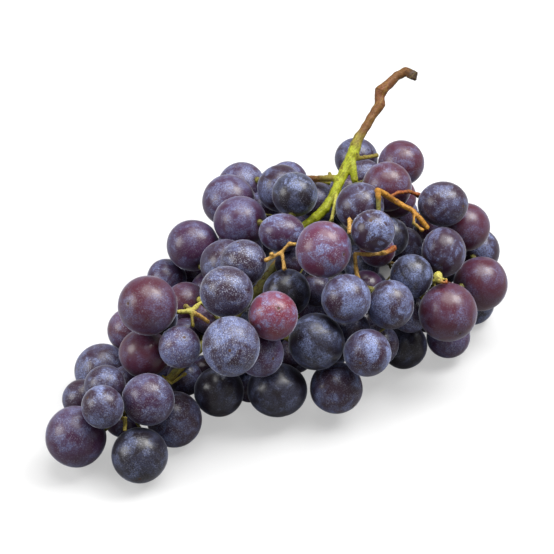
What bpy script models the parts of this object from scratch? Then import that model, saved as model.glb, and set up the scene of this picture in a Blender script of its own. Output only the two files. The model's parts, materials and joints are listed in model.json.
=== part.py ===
"""A bunch of dark grapes lying on its side, with its hooked, cut stem in the air.

Lengths are in millimetres up to the making of a mesh, where MM turns them into metres. Each berry that
shows was read by eye from one view of the bunch: its place in that picture, its width and height, and
how high its middle lies. The rest of the bunch, behind and under those, is filled by a seeded rule.
All berries then push each other apart until they only touch, as in a real bunch, and those that show
stay on their own line of sight. A stem runs through the middle, and thin stalks find their way from it
between the berries to each one.
"""

import heapq
import math
from typing import NamedTuple

import bmesh
import bpy
import numpy as np
from mathutils import Vector

MM = 0.001
NO_LENGTH = 1e-9

# The view: one picture pixel is PIXEL mm of the bunch, seen from VIEW_ELEVATION above the table
PIXEL = 0.4
PICTURE_MIDDLE = 277.0
VIEW_ELEVATION = math.radians(40)
VIEW_DISTANCE = 900.0
VIEW_TARGET = np.array([0.0, 0.0, 25.0])
RIGHT = np.array([1.0, 0.0, 0.0])
AHEAD = np.array([0.0, math.cos(VIEW_ELEVATION), -math.sin(VIEW_ELEVATION)])
UPWARD = np.array([0.0, math.sin(VIEW_ELEVATION), math.cos(VIEW_ELEVATION)])
EYE = VIEW_TARGET - VIEW_DISTANCE * AHEAD

# Berries: CONTACT_GAP is the space between two that touch
CONTACT_GAP = 0.3
FACET_SWELL = 1.025
FLAT_SINK = 0.957
FLAT_SNAP = 0.45
PAD_RADIUS = 2.0
PAD_REACH = 0.55
PAD_SIDES = 3
LONGEST_PAD_GAP = 1.6
PRESS_REACH = 2.5
ON_TABLE_MARGIN = 0.2
SHARP_ANGLE = math.radians(50)
MERGE = 1e-6

# The settling: how far apart berries keep, how fast they move and how firmly they keep in sight
SETTLED_GAP = 0.24
EAGERNESS = 1.3
SIGHT_PULL = 0.35
GAP_HOLD = 0.25
SEEN_ROUNDS = 300
FILLED_ROUNDS = 250
LINKED_ROUNDS = 150
LINKED_PASSES = 3

# The seeded filling of the hidden berries
SEED = 11
TRIES = 14000
HIDDEN_RADIUS = (8.2, 10.4)
HIDDEN_HEIGHT = (8.0, 52.0)
START_OVERLAP = 0.88
LEAST_HIDDEN = 0.9
MOST_OPEN_SHARE = 0.2
BURIED_SHARE = 0.22
LOOKS = 300
NEAR_BERRY = 26.0
OVER_NEAR = 2.0
OVER_HULL = 3.0
LOW_BERRY = 14.0
FILL_MARGIN = 12.0
OUTLINE_SAMPLES = 16
INNER_SAMPLES_AT = 0.6

# Stalks
STEM_MARGIN = 0.35
GRID = 1.6
GRID_MARGIN = 18.0
JOIN_STEP = 0.8
FIT_STEP = 0.6
LEAST_STEP = 0.6
STALK_GAP = 0.32
STALK_RADIUS = 0.8
THIN_STALK = 0.6
THINNEST_STALK = 0.48
STALK_REACH = 2.4
SHOWING_PENALTY = 30.0
REACH_PENALTY = 2.0
END_RADIUS = 1.35
BRANCH_GROWTH = 0.3
TWIG_SIDES = 5
STALK_SIDES = 3
STEM_SIDES = 7
SHOWING_COST = 6.0
OPEN_COST = 3.0
OPEN_CLEARANCE = 4.0
OUTSIDE_CLEARANCE = 12.0
SHORTCUT_SAG = 2.0
TWIG_STEP = 2.5
TWIG_SAG = 1.0
LIFT_MARGIN = 0.25
LIFT_STEP = 0.3
MOST_LIFTS = 60
NEAR_STEM = 4.5


class Seen(NamedTuple):
    """A berry read from the picture: pixels across and down, then mm, height being its middle's."""

    across: float
    down: float
    wide: float
    tall: float
    height: float


class Stem(NamedTuple):
    """A point of a stem: pixels across and down, then its height over the table and its radius in mm."""

    across: float
    down: float
    height: float
    radius: float


# Berries of the tip
TIP = (
    Seen(76, 436.5, 24.6, 24.6, 12),
    Seen(139.7, 455.3, 22.8, 22.8, 11),
    Seen(174, 419.3, 22.4, 22.4, 11),
    Seen(148, 400, 21.2, 21.6, 29),
    Seen(102.8, 406.5, 17.4, 17.4, 31),
    Seen(105, 385.9, 16.6, 16.6, 26),
    Seen(82.5, 398.9, 16, 16, 13),
    Seen(102, 371, 22, 22, 13),
)

# Berries of the left side, from the tip upwards
LEFT = (
    Seen(147.8, 305.5, 23.8, 23.8, 45),
    Seen(130.4, 330.4, 18.4, 18.4, 21),
    Seen(144.2, 353.1, 20, 20, 24),
    Seen(185.5, 303.4, 17.6, 17.6, 28),
    Seen(187, 336, 15.2, 15.2, 22),
    Seen(179.3, 347, 16.6, 16.8, 34),
    Seen(167, 279, 16.4, 16.4, 22),
    Seen(192.7, 245.8, 21, 20.6, 36),
)

# Berries of the back, left of the stem and right of it
BACK = (
    Seen(240, 222, 21.6, 20.8, 46),
    Seen(228.8, 200.8, 21.2, 21.2, 38),
    Seen(241.8, 185.7, 19.2, 19.2, 32),
    Seen(280.6, 188.2, 18.9, 18.9, 46),
    Seen(295, 194.6, 18.4, 18, 56),
    Seen(288, 181, 15.8, 15.8, 36),
    Seen(318, 203, 16.8, 16.8, 45),
    Seen(356.6, 159, 17.4, 17.4, 44),
    Seen(401.4, 163.3, 18.7, 18.4, 44),
    Seen(387, 186.5, 20, 20, 51),
    Seen(394, 197, 17.6, 17.6, 42),
)

# Berries of the crown, in front of the place where the stem goes in
CROWN = (
    Seen(360.3, 206.3, 19.6, 19.6, 60),
    Seen(373.9, 230.8, 18, 17, 63),
    Seen(323.2, 249.5, 22.6, 22.8, 59),
    Seen(281.8, 233, 18.6, 15.2, 50),
    Seen(378, 250, 14.4, 13.6, 49),
    Seen(389, 237, 16, 16, 46),
    Seen(403, 247, 16, 16, 34),
    Seen(243.5, 262.5, 18.6, 18.4, 51),
    Seen(226, 264.5, 20.6, 20.6, 39),
    Seen(225.9, 291.7, 21, 20.4, 50),
    Seen(286.5, 292.5, 19.2, 19.2, 39),
    Seen(316, 290, 13.6, 13.6, 32),
    Seen(366, 288, 14.4, 14.4, 38),
)

# Berries of the front
FRONT = (
    Seen(273, 316.2, 19.7, 20, 47),
    Seen(346, 298.8, 20, 20, 48),
    Seen(390, 304.5, 19.2, 20, 41),
    Seen(411.5, 276.5, 17.2, 18, 41),
    Seen(231.2, 346.3, 22.7, 24, 41),
    Seen(260.3, 353, 19, 19, 26),
    Seen(316.7, 341.7, 22.9, 22.7, 32),
    Seen(367.4, 352.8, 19, 19, 27),
    Seen(378, 345, 16.8, 16.8, 18),
    Seen(219, 391.4, 20, 20, 10),
    Seen(277.2, 390, 24, 21.6, 11.5),
    Seen(336.1, 387.3, 21.2, 20.8, 10.5),
    Seen(404, 346, 18.8, 18.8, 9.5),
)

# Berries of the right shoulder
SHOULDER = (
    Seen(443, 204.1, 20.2, 18.2, 51),
    Seen(465.7, 226.8, 19.2, 19.2, 37),
    Seen(477.2, 251.2, 18.2, 18.2, 20),
    Seen(443.5, 252, 17.6, 20, 43),
    Seen(480.6, 283.9, 21.8, 21.8, 27),
    Seen(447.9, 311.4, 23.2, 23.5, 30),
    Seen(473, 303, 17.6, 17.6, 9),
    Seen(448, 336.5, 17.4, 17.4, 9),
)

# Berries that show only as a dark bit in a gap between others
IN_GAPS = (
    Seen(122, 420, 14.4, 14.4, 7.5),
    Seen(127, 383, 14.4, 14.4, 14),
    Seen(365, 178, 15, 15, 40),
    Seen(435, 225, 16, 16, 34),
    Seen(352, 330, 15, 15, 26),
    Seen(412, 315, 16, 16, 27),
    Seen(295, 355, 15, 15, 18),
    Seen(250, 385, 14.4, 14.4, 13),
    Seen(185, 378, 14.4, 14.4, 14),
    Seen(203, 372, 14, 14, 11),
    Seen(314, 305, 15, 15, 27),
    Seen(345, 190, 13, 13, 44),
    Seen(262, 209, 14.4, 14.4, 32),
    Seen(291, 262, 14, 14, 40),
    Seen(362, 268, 14, 14, 38),
    Seen(208, 318, 13, 13, 28),
)

# Where each spray starts to grow, in the picture
SPRAY_SEEDS = {
    "berries_tip": (112, 410),
    "berries_left_low": (144, 353),
    "berries_left_high": (193, 246),
    "berries_back_left": (240, 200),
    "berries_back_right": (387, 186),
    "berries_crown_left": (230, 278),
    "berries_crown": (345, 240),
    "berries_front_left": (231, 346),
    "berries_front": (316, 342),
    "berries_front_right": (390, 304),
    "berries_shoulder_high": (450, 215),
    "berries_shoulder_low": (465, 300),
}

# The stem from its cut end, over the hook, to the tip of the bunch
MAIN_STEM = (
    Stem(411.2, 79.0, 83.2, 2.3),
    Stem(412.6, 74.6, 84.6, 2.3),
    Stem(406.0, 71.5, 84.5, 2.0),
    Stem(396.8, 76.0, 83.0, 1.9),
    Stem(388.7, 84.1, 81.0, 2.0),
    Stem(380.7, 91.0, 79.5, 2.5),
    Stem(379.5, 97.9, 77.5, 2.1),
    Stem(380.1, 104.8, 76.0, 2.3),
    Stem(372.7, 115.1, 73.5, 1.8),
    Stem(364.6, 128.9, 70.0, 1.8),
    Stem(357.7, 139.2, 67.5, 2.1),
    Stem(353.1, 154.1, 64.0, 2.5),
    Stem(347.4, 165.6, 61.0, 2.3),
    Stem(341.5, 177.1, 58.5, 2.1),
    Stem(335.9, 189.7, 56.0, 2.0),
    Stem(331.5, 198.3, 54.0, 1.9),
    Stem(325.0, 208.6, 52.0, 2.0),
    Stem(316.0, 217.5, 49.5, 2.1),
    Stem(305.0, 226.8, 44.5, 2.1),
    Stem(288.0, 250.0, 36.5, 2.1),
    Stem(262.0, 285.0, 33.0, 2.0),
    Stem(232.0, 318.0, 30.0, 1.9),
    Stem(200.0, 348.0, 25.0, 1.7),
    Stem(168.0, 380.0, 20.0, 1.5),
    Stem(138.0, 408.0, 15.0, 1.3),
)

# Twigs and stubs that show, each from its root outwards
TWIGS = {
    "left lateral": (Stem(334, 178.2, 58, 1.5), Stem(322, 178.6, 56, 1.3), Stem(309.5, 178.2, 53, 1.2)),
    "left lateral stub": (Stem(331, 178, 57, 0.9), Stem(329.4, 172.4, 58, 0.8)),
    "green stub": (Stem(351, 160, 63, 2.2), Stem(352.8, 170, 60.5, 1.9), Stem(354.8, 180, 57.5, 1.3)),
    "right stub": (Stem(355, 158.5, 63, 1.2), Stem(366, 157.5, 61, 0.9), Stem(377.2, 155.3, 59, 0.8)),
    "right lateral": (
        Stem(377, 190, 60, 1.3),
        Stem(389.4, 197.2, 59, 1.3),
        Stem(402, 205.3, 58, 1.2),
        Stem(413.5, 211, 56, 1.1),
        Stem(420.4, 219, 54, 1.1),
        Stem(427.2, 228.2, 51, 1.1),
    ),
    "right lateral fork": (
        Stem(390.5, 197, 59, 0.8),
        Stem(397.4, 192.6, 59, 0.8),
        Stem(410, 191.5, 57, 0.8),
        Stem(418, 195, 55, 0.9),
    ),
    "right thin stalk": (
        Stem(414, 213, 56, 0.7),
        Stem(413.8, 223.6, 54, 0.7),
        Stem(422.7, 230.5, 52, 0.7),
    ),
    "stalk by the stem": (Stem(336.5, 195, 56, 0.9), Stem(334, 208, 54, 0.8), Stem(331.7, 221, 53, 0.9)),
    "crown stalk": (Stem(349, 219, 60, 0.9), Stem(350, 233, 59, 0.9)),
    "crown lateral": (
        Stem(383, 253.4, 55, 0.9),
        Stem(369, 254.5, 56, 0.9),
        Stem(354.8, 253.8, 57, 1.0),
        Stem(355.6, 264, 55, 0.9),
        Stem(357.2, 275.3, 53, 0.9),
    ),
    "crown knuckle": (Stem(389, 251.5, 54, 1.0), Stem(394.5, 247.5, 54, 1.3)),
    "middle fork": (
        Stem(289.2, 243.8, 56.5, 0.7),
        Stem(281.6, 252.4, 54, 0.8),
        Stem(273.5, 256.5, 53, 0.8),
        Stem(265.5, 260.3, 52, 0.9),
    ),
    "middle fork stalk": (Stem(282.5, 252.5, 54, 0.7), Stem(284.4, 269.6, 50, 0.8)),
    "middle fork stub": (Stem(275, 256.5, 53.2, 0.7), Stem(271, 253.6, 54.5, 0.8)),
    "left fork": (
        Stem(200.8, 302.4, 38, 0.8),
        Stem(191.2, 311.4, 40, 1.2),
        Stem(177.2, 312, 42, 0.9),
    ),
    "left fork stalk": (
        Stem(191.2, 311.4, 40, 1.0),
        Stem(200, 316, 40, 0.9),
        Stem(208.4, 322.2, 40, 0.9),
    ),
    "left fork thin stalk": (Stem(191.2, 311.4, 40, 0.8), Stem(193, 327.3, 38, 0.7)),
    "left fork bud": (Stem(190, 310, 40, 0.8), Stem(185.5, 305.6, 41, 1.0)),
    "tip stalk": (Stem(125.5, 417, 26, 0.8), Stem(124.4, 430.8, 23, 0.9)),
    "low stalk": (Stem(163, 375.5, 26, 0.7), Stem(171.6, 383.6, 26, 0.7), Stem(185.6, 373.4, 26, 0.7)),
    "berry that never grew": (
        Stem(447, 283, 47, 0.7),
        Stem(440.5, 281.8, 48, 0.8),
        Stem(439.2, 279.6, 48.3, 1.6),
        Stem(438.2, 276.8, 48.6, 2.0),
        Stem(437.4, 274, 49, 1.7),
        Stem(437, 272.4, 49.2, 0.8),
    ),
}

SKIN_COLOUR = (0.035, 0.018, 0.055, 1.0)
SKIN_ROUGHNESS = 0.45
STEM_COLOUR = (0.26, 0.24, 0.05, 1.0)
STEM_ROUGHNESS = 0.6


def clear_scene():
    for thing in list(bpy.data.objects):
        bpy.data.objects.remove(thing, do_unlink=True)


def material(name, colour, roughness):
    made = bpy.data.materials.new(name)
    made.use_nodes = True
    shader = made.node_tree.nodes["Principled BSDF"]
    shader.inputs["Base Color"].default_value = colour
    shader.inputs["Roughness"].default_value = roughness
    shader.inputs["Metallic"].default_value = 0.0
    made.diffuse_color = colour
    return made


# Picture and space


def sight(across, down):
    """The direction from the eye through a pixel."""
    aim = VIEW_TARGET + RIGHT * (across - PICTURE_MIDDLE) * PIXEL
    aim = aim + UPWARD * (PICTURE_MIDDLE - down) * PIXEL
    line = aim - EYE
    return line / np.linalg.norm(line)


def on_sight(across, down, height):
    """The point of a pixel's line of sight at this height over the table."""
    line = sight(across, down)
    return EYE + line * ((height - EYE[2]) / line[2])


def picture_place(points):
    """Pixels across and down, and depth from the eye, of points in space."""
    offset = points - EYE
    depth = offset @ AHEAD
    across = PICTURE_MIDDLE + (offset @ RIGHT) * VIEW_DISTANCE / depth / PIXEL
    down = PICTURE_MIDDLE - (offset @ UPWARD) * VIEW_DISTANCE / depth / PIXEL
    return across, down, depth


def segment_offsets(points, starts, ends):
    """Vectors from the nearest point of each segment to each point, and their lengths."""
    along = ends - starts
    squared = (along * along).sum(1) + NO_LENGTH
    share = ((points[:, None] - starts[None]) * along[None]).sum(2) / squared[None]
    nearest = starts[None] + np.clip(share, 0, 1)[..., None] * along[None]
    offset = points[:, None] - nearest
    return offset, np.linalg.norm(offset, axis=2)


# Where the berries lie


class Bunch:
    """Centres and sizes of all berries, in mm."""

    def __init__(self):
        stem = np.array([on_sight(p.across, p.down, p.height) for p in MAIN_STEM])
        radii = np.array([p.radius for p in MAIN_STEM])
        self.stem = stem
        self.stem_radii = radii
        starts, ends, room = [], [], []
        for route in (MAIN_STEM, *TWIGS.values()):
            for first, last in zip(route[:-1], route[1:]):
                starts.append(on_sight(first.across, first.down, first.height))
                ends.append(on_sight(last.across, last.down, last.height))
                room.append(max(first.radius, last.radius) + STEM_MARGIN + CONTACT_GAP)
        self.starts = np.array(starts)
        self.ends = np.array(ends)
        self.stem_room = np.array(room)
        centres, halves, lines, holds = [], [], [], []
        for group in (TIP, LEFT, BACK, CROWN, FRONT, SHOULDER, IN_GAPS):
            for berry in group:
                centre = on_sight(berry.across, berry.down, berry.height)
                nearness = (centre - EYE) @ AHEAD / VIEW_DISTANCE
                wide = berry.wide / 2 * nearness
                tall = berry.tall / 2 * nearness
                centres.append(centre)
                halves.append((wide, (wide + tall) / 2, tall))
                lines.append(sight(berry.across, berry.down))
                holds.append(GAP_HOLD if group is IN_GAPS else 1.0)
        self.centres = np.array(centres)
        self.halves = np.array(halves)
        self.lines = np.array(lines)
        self.holds = np.array(holds)

    @property
    def radii(self):
        return self.halves.mean(1)

    def gaps(self):
        """Distance between the skins of each two berries."""
        apart = np.linalg.norm(self.centres[:, None] - self.centres[None], axis=2)
        gaps = apart - self.radii[:, None] - self.radii[None]
        np.fill_diagonal(gaps, np.inf)
        return gaps

    def settle(self, rounds, links=()):
        """Push berries apart, off the stem and off the table, and hold the seen ones to their sight lines."""
        radii = self.radii
        count = len(radii)
        firsts = np.array([a for a, b in links], int)
        seconds = np.array([b for a, b in links], int)
        for _ in range(rounds):
            offset = self.centres[:, None] - self.centres[None]
            apart = np.linalg.norm(offset, axis=2) + np.eye(count)
            over = radii[:, None] + radii[None] + SETTLED_GAP - apart
            np.fill_diagonal(over, 0)
            push = np.maximum(over, 0)
            move = (offset / apart[..., None] * push[..., None] * 0.5).sum(1)
            touches = (push > 0).sum(1).astype(float)
            away, distance = segment_offsets(self.centres, self.starts, self.ends)
            crowd = np.maximum(radii[:, None] + self.stem_room[None] - distance, 0)
            move += (away / np.maximum(distance, 1e-6)[..., None] * crowd[..., None]).sum(1)
            touches += (crowd > 0).sum(1)
            if links:
                between = self.centres[seconds] - self.centres[firsts]
                length = np.linalg.norm(between, axis=1)
                slack = np.maximum(length - radii[firsts] - radii[seconds] - CONTACT_GAP, 0)
                pull = between / length[:, None] * slack[:, None] * 0.5
                np.add.at(move, firsts, pull)
                np.add.at(move, seconds, -pull)
                np.add.at(touches, firsts, slack > 0)
                np.add.at(touches, seconds, slack > 0)
            self.centres = self.centres + move / np.maximum(touches, 1)[:, None] * EAGERNESS
            off = self.centres - EYE
            on_line = (off * self.lines).sum(1)[:, None] * self.lines
            self.centres = self.centres + (on_line - off) * (self.holds * SIGHT_PULL)[:, None]
            self.centres[:, 2] = np.maximum(self.centres[:, 2], radii * FLAT_SINK)

    def outline_samples(self, centre, radius):
        """Points round a berry's outline as the eye sees it, and halfway in."""
        turns = np.linspace(0, 2 * math.pi, OUTLINE_SAMPLES, endpoint=False)
        ring = np.cos(turns)[:, None] * RIGHT + np.sin(turns)[:, None] * UPWARD
        return np.concatenate([centre + ring * radius, centre + ring * radius * INNER_SAMPLES_AT])

    def hidden_share(self, centre, radius, nearer_only=True):
        """How much of a berry's outline the berries placed so far hide, or lie behind too."""
        samples = self.outline_samples(centre, radius)
        reach = samples - EYE
        depth = np.linalg.norm(reach, axis=1)
        line = reach / depth[:, None]
        off = self.centres - EYE
        along = line @ off.T
        miss = np.sqrt(np.maximum((off * off).sum(1)[None] - along * along, 0))
        hit = miss < self.radii[None]
        if nearer_only:
            hit &= along < depth[:, None]
        return hit.any(1).mean()

    def add_hidden(self):
        """Fill the inside, the back and the underside, where only berries out of sight can lie."""
        draw = np.random.default_rng(SEED)
        low = self.centres.min(0) - FILL_MARGIN
        high = self.centres.max(0) + FILL_MARGIN
        low[2], high[2] = HIDDEN_HEIGHT
        spots = draw.uniform(low, high, (TRIES, 3))
        sizes = draw.uniform(*HIDDEN_RADIUS, TRIES)
        order = np.argsort(spots[:, 2])
        hull = convex_outline(self.centres[:, :2])
        seen = Bunch()
        seen.centres, seen.halves = self.centres, self.halves
        centres, radii = self.centres, self.radii
        for spot, size in zip(spots[order], sizes[order]):
            spot = np.array([spot[0], spot[1], max(spot[2], size)])
            if outside_by(hull, spot[:2]) > (0.0 if spot[2] < LOW_BERRY else OVER_HULL):
                continue
            apart = np.linalg.norm(centres - spot, axis=1)
            if (apart < (radii + size) * START_OVERLAP).any():
                continue
            from_stem = segment_offsets(spot[None], self.starts, self.ends)[1][0]
            if (from_stem < (size + self.stem_room) * START_OVERLAP).any():
                continue
            level = np.linalg.norm(seen.centres[:, :2] - spot[:2], axis=1) < NEAR_BERRY
            if not level.any() or spot[2] > seen.centres[level, 2].max() + OVER_NEAR:
                continue
            if seen.hidden_share(spot, size) < LEAST_HIDDEN:
                continue
            centres = np.vstack([centres, spot])
            radii = np.append(radii, size)
        new = len(radii) - len(self.centres)
        self.halves = np.vstack([self.halves, np.repeat(radii[-new:, None], 3, 1)])
        self.centres = centres
        self.lines = np.vstack([self.lines, np.tile(AHEAD, (new, 1))])
        self.holds = np.append(self.holds, np.zeros(new))
        return new

    def open_share(self, index):
        """How many of the directions from a berry's middle lead out of the bunch past all the others."""
        turns = np.arange(LOOKS) * math.pi * (3 - math.sqrt(5))
        heights = 1 - (2 * np.arange(LOOKS) + 1) / LOOKS
        level = np.sqrt(1 - heights**2)
        looks = np.stack([level * np.cos(turns), level * np.sin(turns), heights], 1)
        off = np.delete(self.centres, index, 0) - self.centres[index]
        along = looks @ off.T
        miss = np.sqrt(np.maximum((off * off).sum(1)[None] - along * along, 0))
        blocked = ((miss < np.delete(self.radii, index)[None]) & (along > 0)).any(1)
        return 1 - blocked.mean()

    def drop_needless(self, first):
        """Leave out a hidden berry that shows past the seen ones or lies deep among the stalks."""
        seen = Bunch()
        seen.centres, seen.halves = self.centres[:first], self.halves[:first]
        keep = np.ones(len(self.centres), bool)
        for i in range(first, len(self.centres)):
            share = seen.hidden_share(self.centres[i], self.radii[i], nearer_only=False)
            keep[i] = share > 1 - MOST_OPEN_SHARE and self.open_share(i) > BURIED_SHARE
        self.centres, self.halves = self.centres[keep], self.halves[keep]
        self.lines, self.holds = self.lines[keep], self.holds[keep]


def convex_outline(points):
    """The convex outline of flat points, counter-clockwise."""
    ordered = sorted(map(tuple, points))

    def half(sequence):
        chain = []
        for point in sequence:
            while len(chain) > 1 and turn(chain[-2], chain[-1], point) <= 0:
                chain.pop()
            chain.append(point)
        return chain[:-1]

    return np.array(half(ordered) + half(ordered[::-1]))


def turn(a, b, c):
    return (b[0] - a[0]) * (c[1] - b[1]) - (b[1] - a[1]) * (c[0] - b[0])


def outside_by(outline, point):
    """How far a point lies outside a convex outline, negative inside."""
    edges = np.roll(outline, -1, 0) - outline
    outward = np.stack([edges[:, 1], -edges[:, 0]], 1)
    outward = outward / np.linalg.norm(edges, axis=1)[:, None]
    return ((point - outline) * outward).sum(1).max()


def nearest_links(gaps):
    """The pairs of berries that join all of them with the shortest gaps."""
    count = len(gaps)
    joined = np.zeros(count, bool)
    joined[0] = True
    best = gaps[0].copy()
    source = np.zeros(count, int)
    links = []
    for _ in range(count - 1):
        free = np.where(joined, np.inf, best)
        pick = int(free.argmin())
        links.append((int(source[pick]), pick))
        joined[pick] = True
        nearer = gaps[pick] < best
        best[nearer] = gaps[pick][nearer]
        source[nearer] = pick
    return links


def lay_out():
    bunch = Bunch()
    bunch.settle(SEEN_ROUNDS)
    seen_count = len(bunch.centres)
    bunch.add_hidden()
    bunch.settle(FILLED_ROUNDS)
    bunch.drop_needless(seen_count)
    for _ in range(LINKED_PASSES):
        bunch.settle(LINKED_ROUNDS, nearest_links(bunch.gaps()))
    return bunch


def grow_sprays(bunch):
    """Each berry's spray and the touching berry that it is joined through, grown out from the seeds."""
    gaps = bunch.gaps()
    across, down, _ = picture_place(bunch.centres)
    queue = []
    spray = [None] * len(across)
    parent = [None] * len(across)
    for name, place in SPRAY_SEEDS.items():
        away = np.hypot(across - place[0], down - place[1])
        seed = int(np.where(bunch.holds == 1, away, np.inf).argmin())
        heapq.heappush(queue, (0.0, seed, -1, name))
    while queue:
        distance, berry, source, name = heapq.heappop(queue)
        if spray[berry] is not None:
            continue
        spray[berry] = name
        parent[berry] = source
        for other in np.flatnonzero(gaps[berry] < LONGEST_PAD_GAP):
            if spray[other] is None:
                step = np.linalg.norm(bunch.centres[berry] - bunch.centres[other])
                heapq.heappush(queue, (distance + step, int(other), berry, name))
    return spray, parent


# Berries as solids


def new_mesh_object(name, mesh_builder, collection):
    mesh = bpy.data.meshes.new(name)
    shape = bmesh.new()
    mesh_builder(shape)
    bmesh.ops.recalc_face_normals(shape, faces=shape.faces)
    shape.to_mesh(mesh)
    shape.free()
    made = bpy.data.objects.new(name, mesh)
    collection.objects.link(made)
    return made


def view_matrix(halves):
    """The stretch of a unit ball into a berry that is wide, deep and tall as the eye sees it."""
    frame = np.stack([RIGHT, AHEAD, UPWARD], 1)
    return frame @ np.diag(halves * FACET_SWELL) @ frame.T


def face_down_turn(spin):
    """A turn that puts one middle face of the ball flat on the table."""
    ball = bmesh.new()
    bmesh.ops.create_icosphere(ball, subdivisions=2, radius=1.0)
    face = min(ball.faces, key=lambda f: f.calc_center_median().length)
    turned = face.calc_center_median().rotation_difference(Vector((0, 0, -1))).to_matrix()
    ball.free()
    cosine, sine = math.cos(spin), math.sin(spin)
    return np.array([[cosine, -sine, 0], [sine, cosine, 0], [0, 0, 1]]) @ np.array(turned)


def random_turn(draw):
    """An even random turn, from a random quaternion."""
    w, x, y, z = (lambda q: q / np.linalg.norm(q))(draw.normal(size=4))
    return np.array(
        [
            [1 - 2 * (y * y + z * z), 2 * (x * y - w * z), 2 * (x * z + w * y)],
            [2 * (x * y + w * z), 1 - 2 * (x * x + z * z), 2 * (y * z - w * x)],
            [2 * (x * z - w * y), 2 * (y * z + w * x), 1 - 2 * (x * x + y * y)],
        ]
    )


def berry_points(bunch, index, directions, turned):
    """A berry's corners: a stretched ball, pressed flat on the table and where a neighbour pushes."""
    centre = bunch.centres[index]
    stretch = view_matrix(bunch.halves[index])
    points = centre + directions @ turned.T @ stretch.T
    gaps = bunch.gaps()[index]
    for _ in range(2):
        for other in np.flatnonzero(gaps < PRESS_REACH):
            between = bunch.centres[other] - centre
            length = np.linalg.norm(between)
            between = between / length
            mine = np.linalg.norm(stretch @ between)
            yours = np.linalg.norm(view_matrix(bunch.halves[other]) @ between)
            middle = (length + mine - yours) / 2 - CONTACT_GAP / 2
            beyond = (points - centre) @ between - middle
            points = points - np.maximum(beyond, 0)[:, None] * between
    points[points[:, 2] < FLAT_SNAP, 2] = 0.0
    return points


def berry_object(name, bunch, index, draw, collection):
    on_table = bunch.centres[index][2] < bunch.radii[index] * FLAT_SINK + ON_TABLE_MARGIN
    turned = face_down_turn(draw.uniform(0, 2 * math.pi)) if on_table else random_turn(draw)

    def build(shape):
        bmesh.ops.create_icosphere(shape, subdivisions=2, radius=1.0)
        directions = np.array([corner.co for corner in shape.verts])
        points = berry_points(bunch, index, directions, turned)
        for corner, point in zip(shape.verts, points):
            corner.co = Vector(point * MM)

    return new_mesh_object(name, build, collection)


def pad_object(name, bunch, index, other, collection):
    """The patch where two touching berries of a spray are pressed together."""
    start, end = bunch.centres[index], bunch.centres[other]
    between = (end - start) / np.linalg.norm(end - start)
    start = start + between * bunch.radii[index] * PAD_REACH
    end = end - between * bunch.radii[other] * PAD_REACH
    turned = Vector((0, 0, 1)).rotation_difference(Vector(between)).to_matrix().to_4x4()
    turned.translation = Vector((start + end) / 2 * MM)

    def build(shape):
        bmesh.ops.create_cone(
            shape,
            cap_ends=True,
            segments=PAD_SIDES,
            radius1=PAD_RADIUS * MM,
            radius2=PAD_RADIUS * MM,
            depth=float(np.linalg.norm(end - start)) * MM,
            matrix=turned,
        )

    return new_mesh_object(name, build, collection)


def fused(name, pieces, collection, skin):
    """One body from overlapping pieces, as an object of its own."""
    body = pieces[0]
    body.name = name
    group = bpy.data.collections.new(name + " pieces")
    for piece in pieces[1:]:
        group.objects.link(piece)
    if len(pieces) > 1:
        union = body.modifiers.new("union", "BOOLEAN")
        union.operation = "UNION"
        union.operand_type = "COLLECTION"
        union.collection = group
        bpy.context.view_layer.update()
        graph = bpy.context.evaluated_depsgraph_get()
        mesh = bpy.data.meshes.new_from_object(body.evaluated_get(graph))
        body.modifiers.clear()
        body.data = mesh
    for piece in pieces[1:]:
        bpy.data.objects.remove(piece, do_unlink=True)
    bpy.data.collections.remove(group)
    body.data.name = name
    body.data.materials.clear()
    body.data.materials.append(skin)
    body.data.shade_smooth()
    body.data.set_sharp_from_angle(angle=SHARP_ANGLE)
    return body


# The room between the berries


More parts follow.
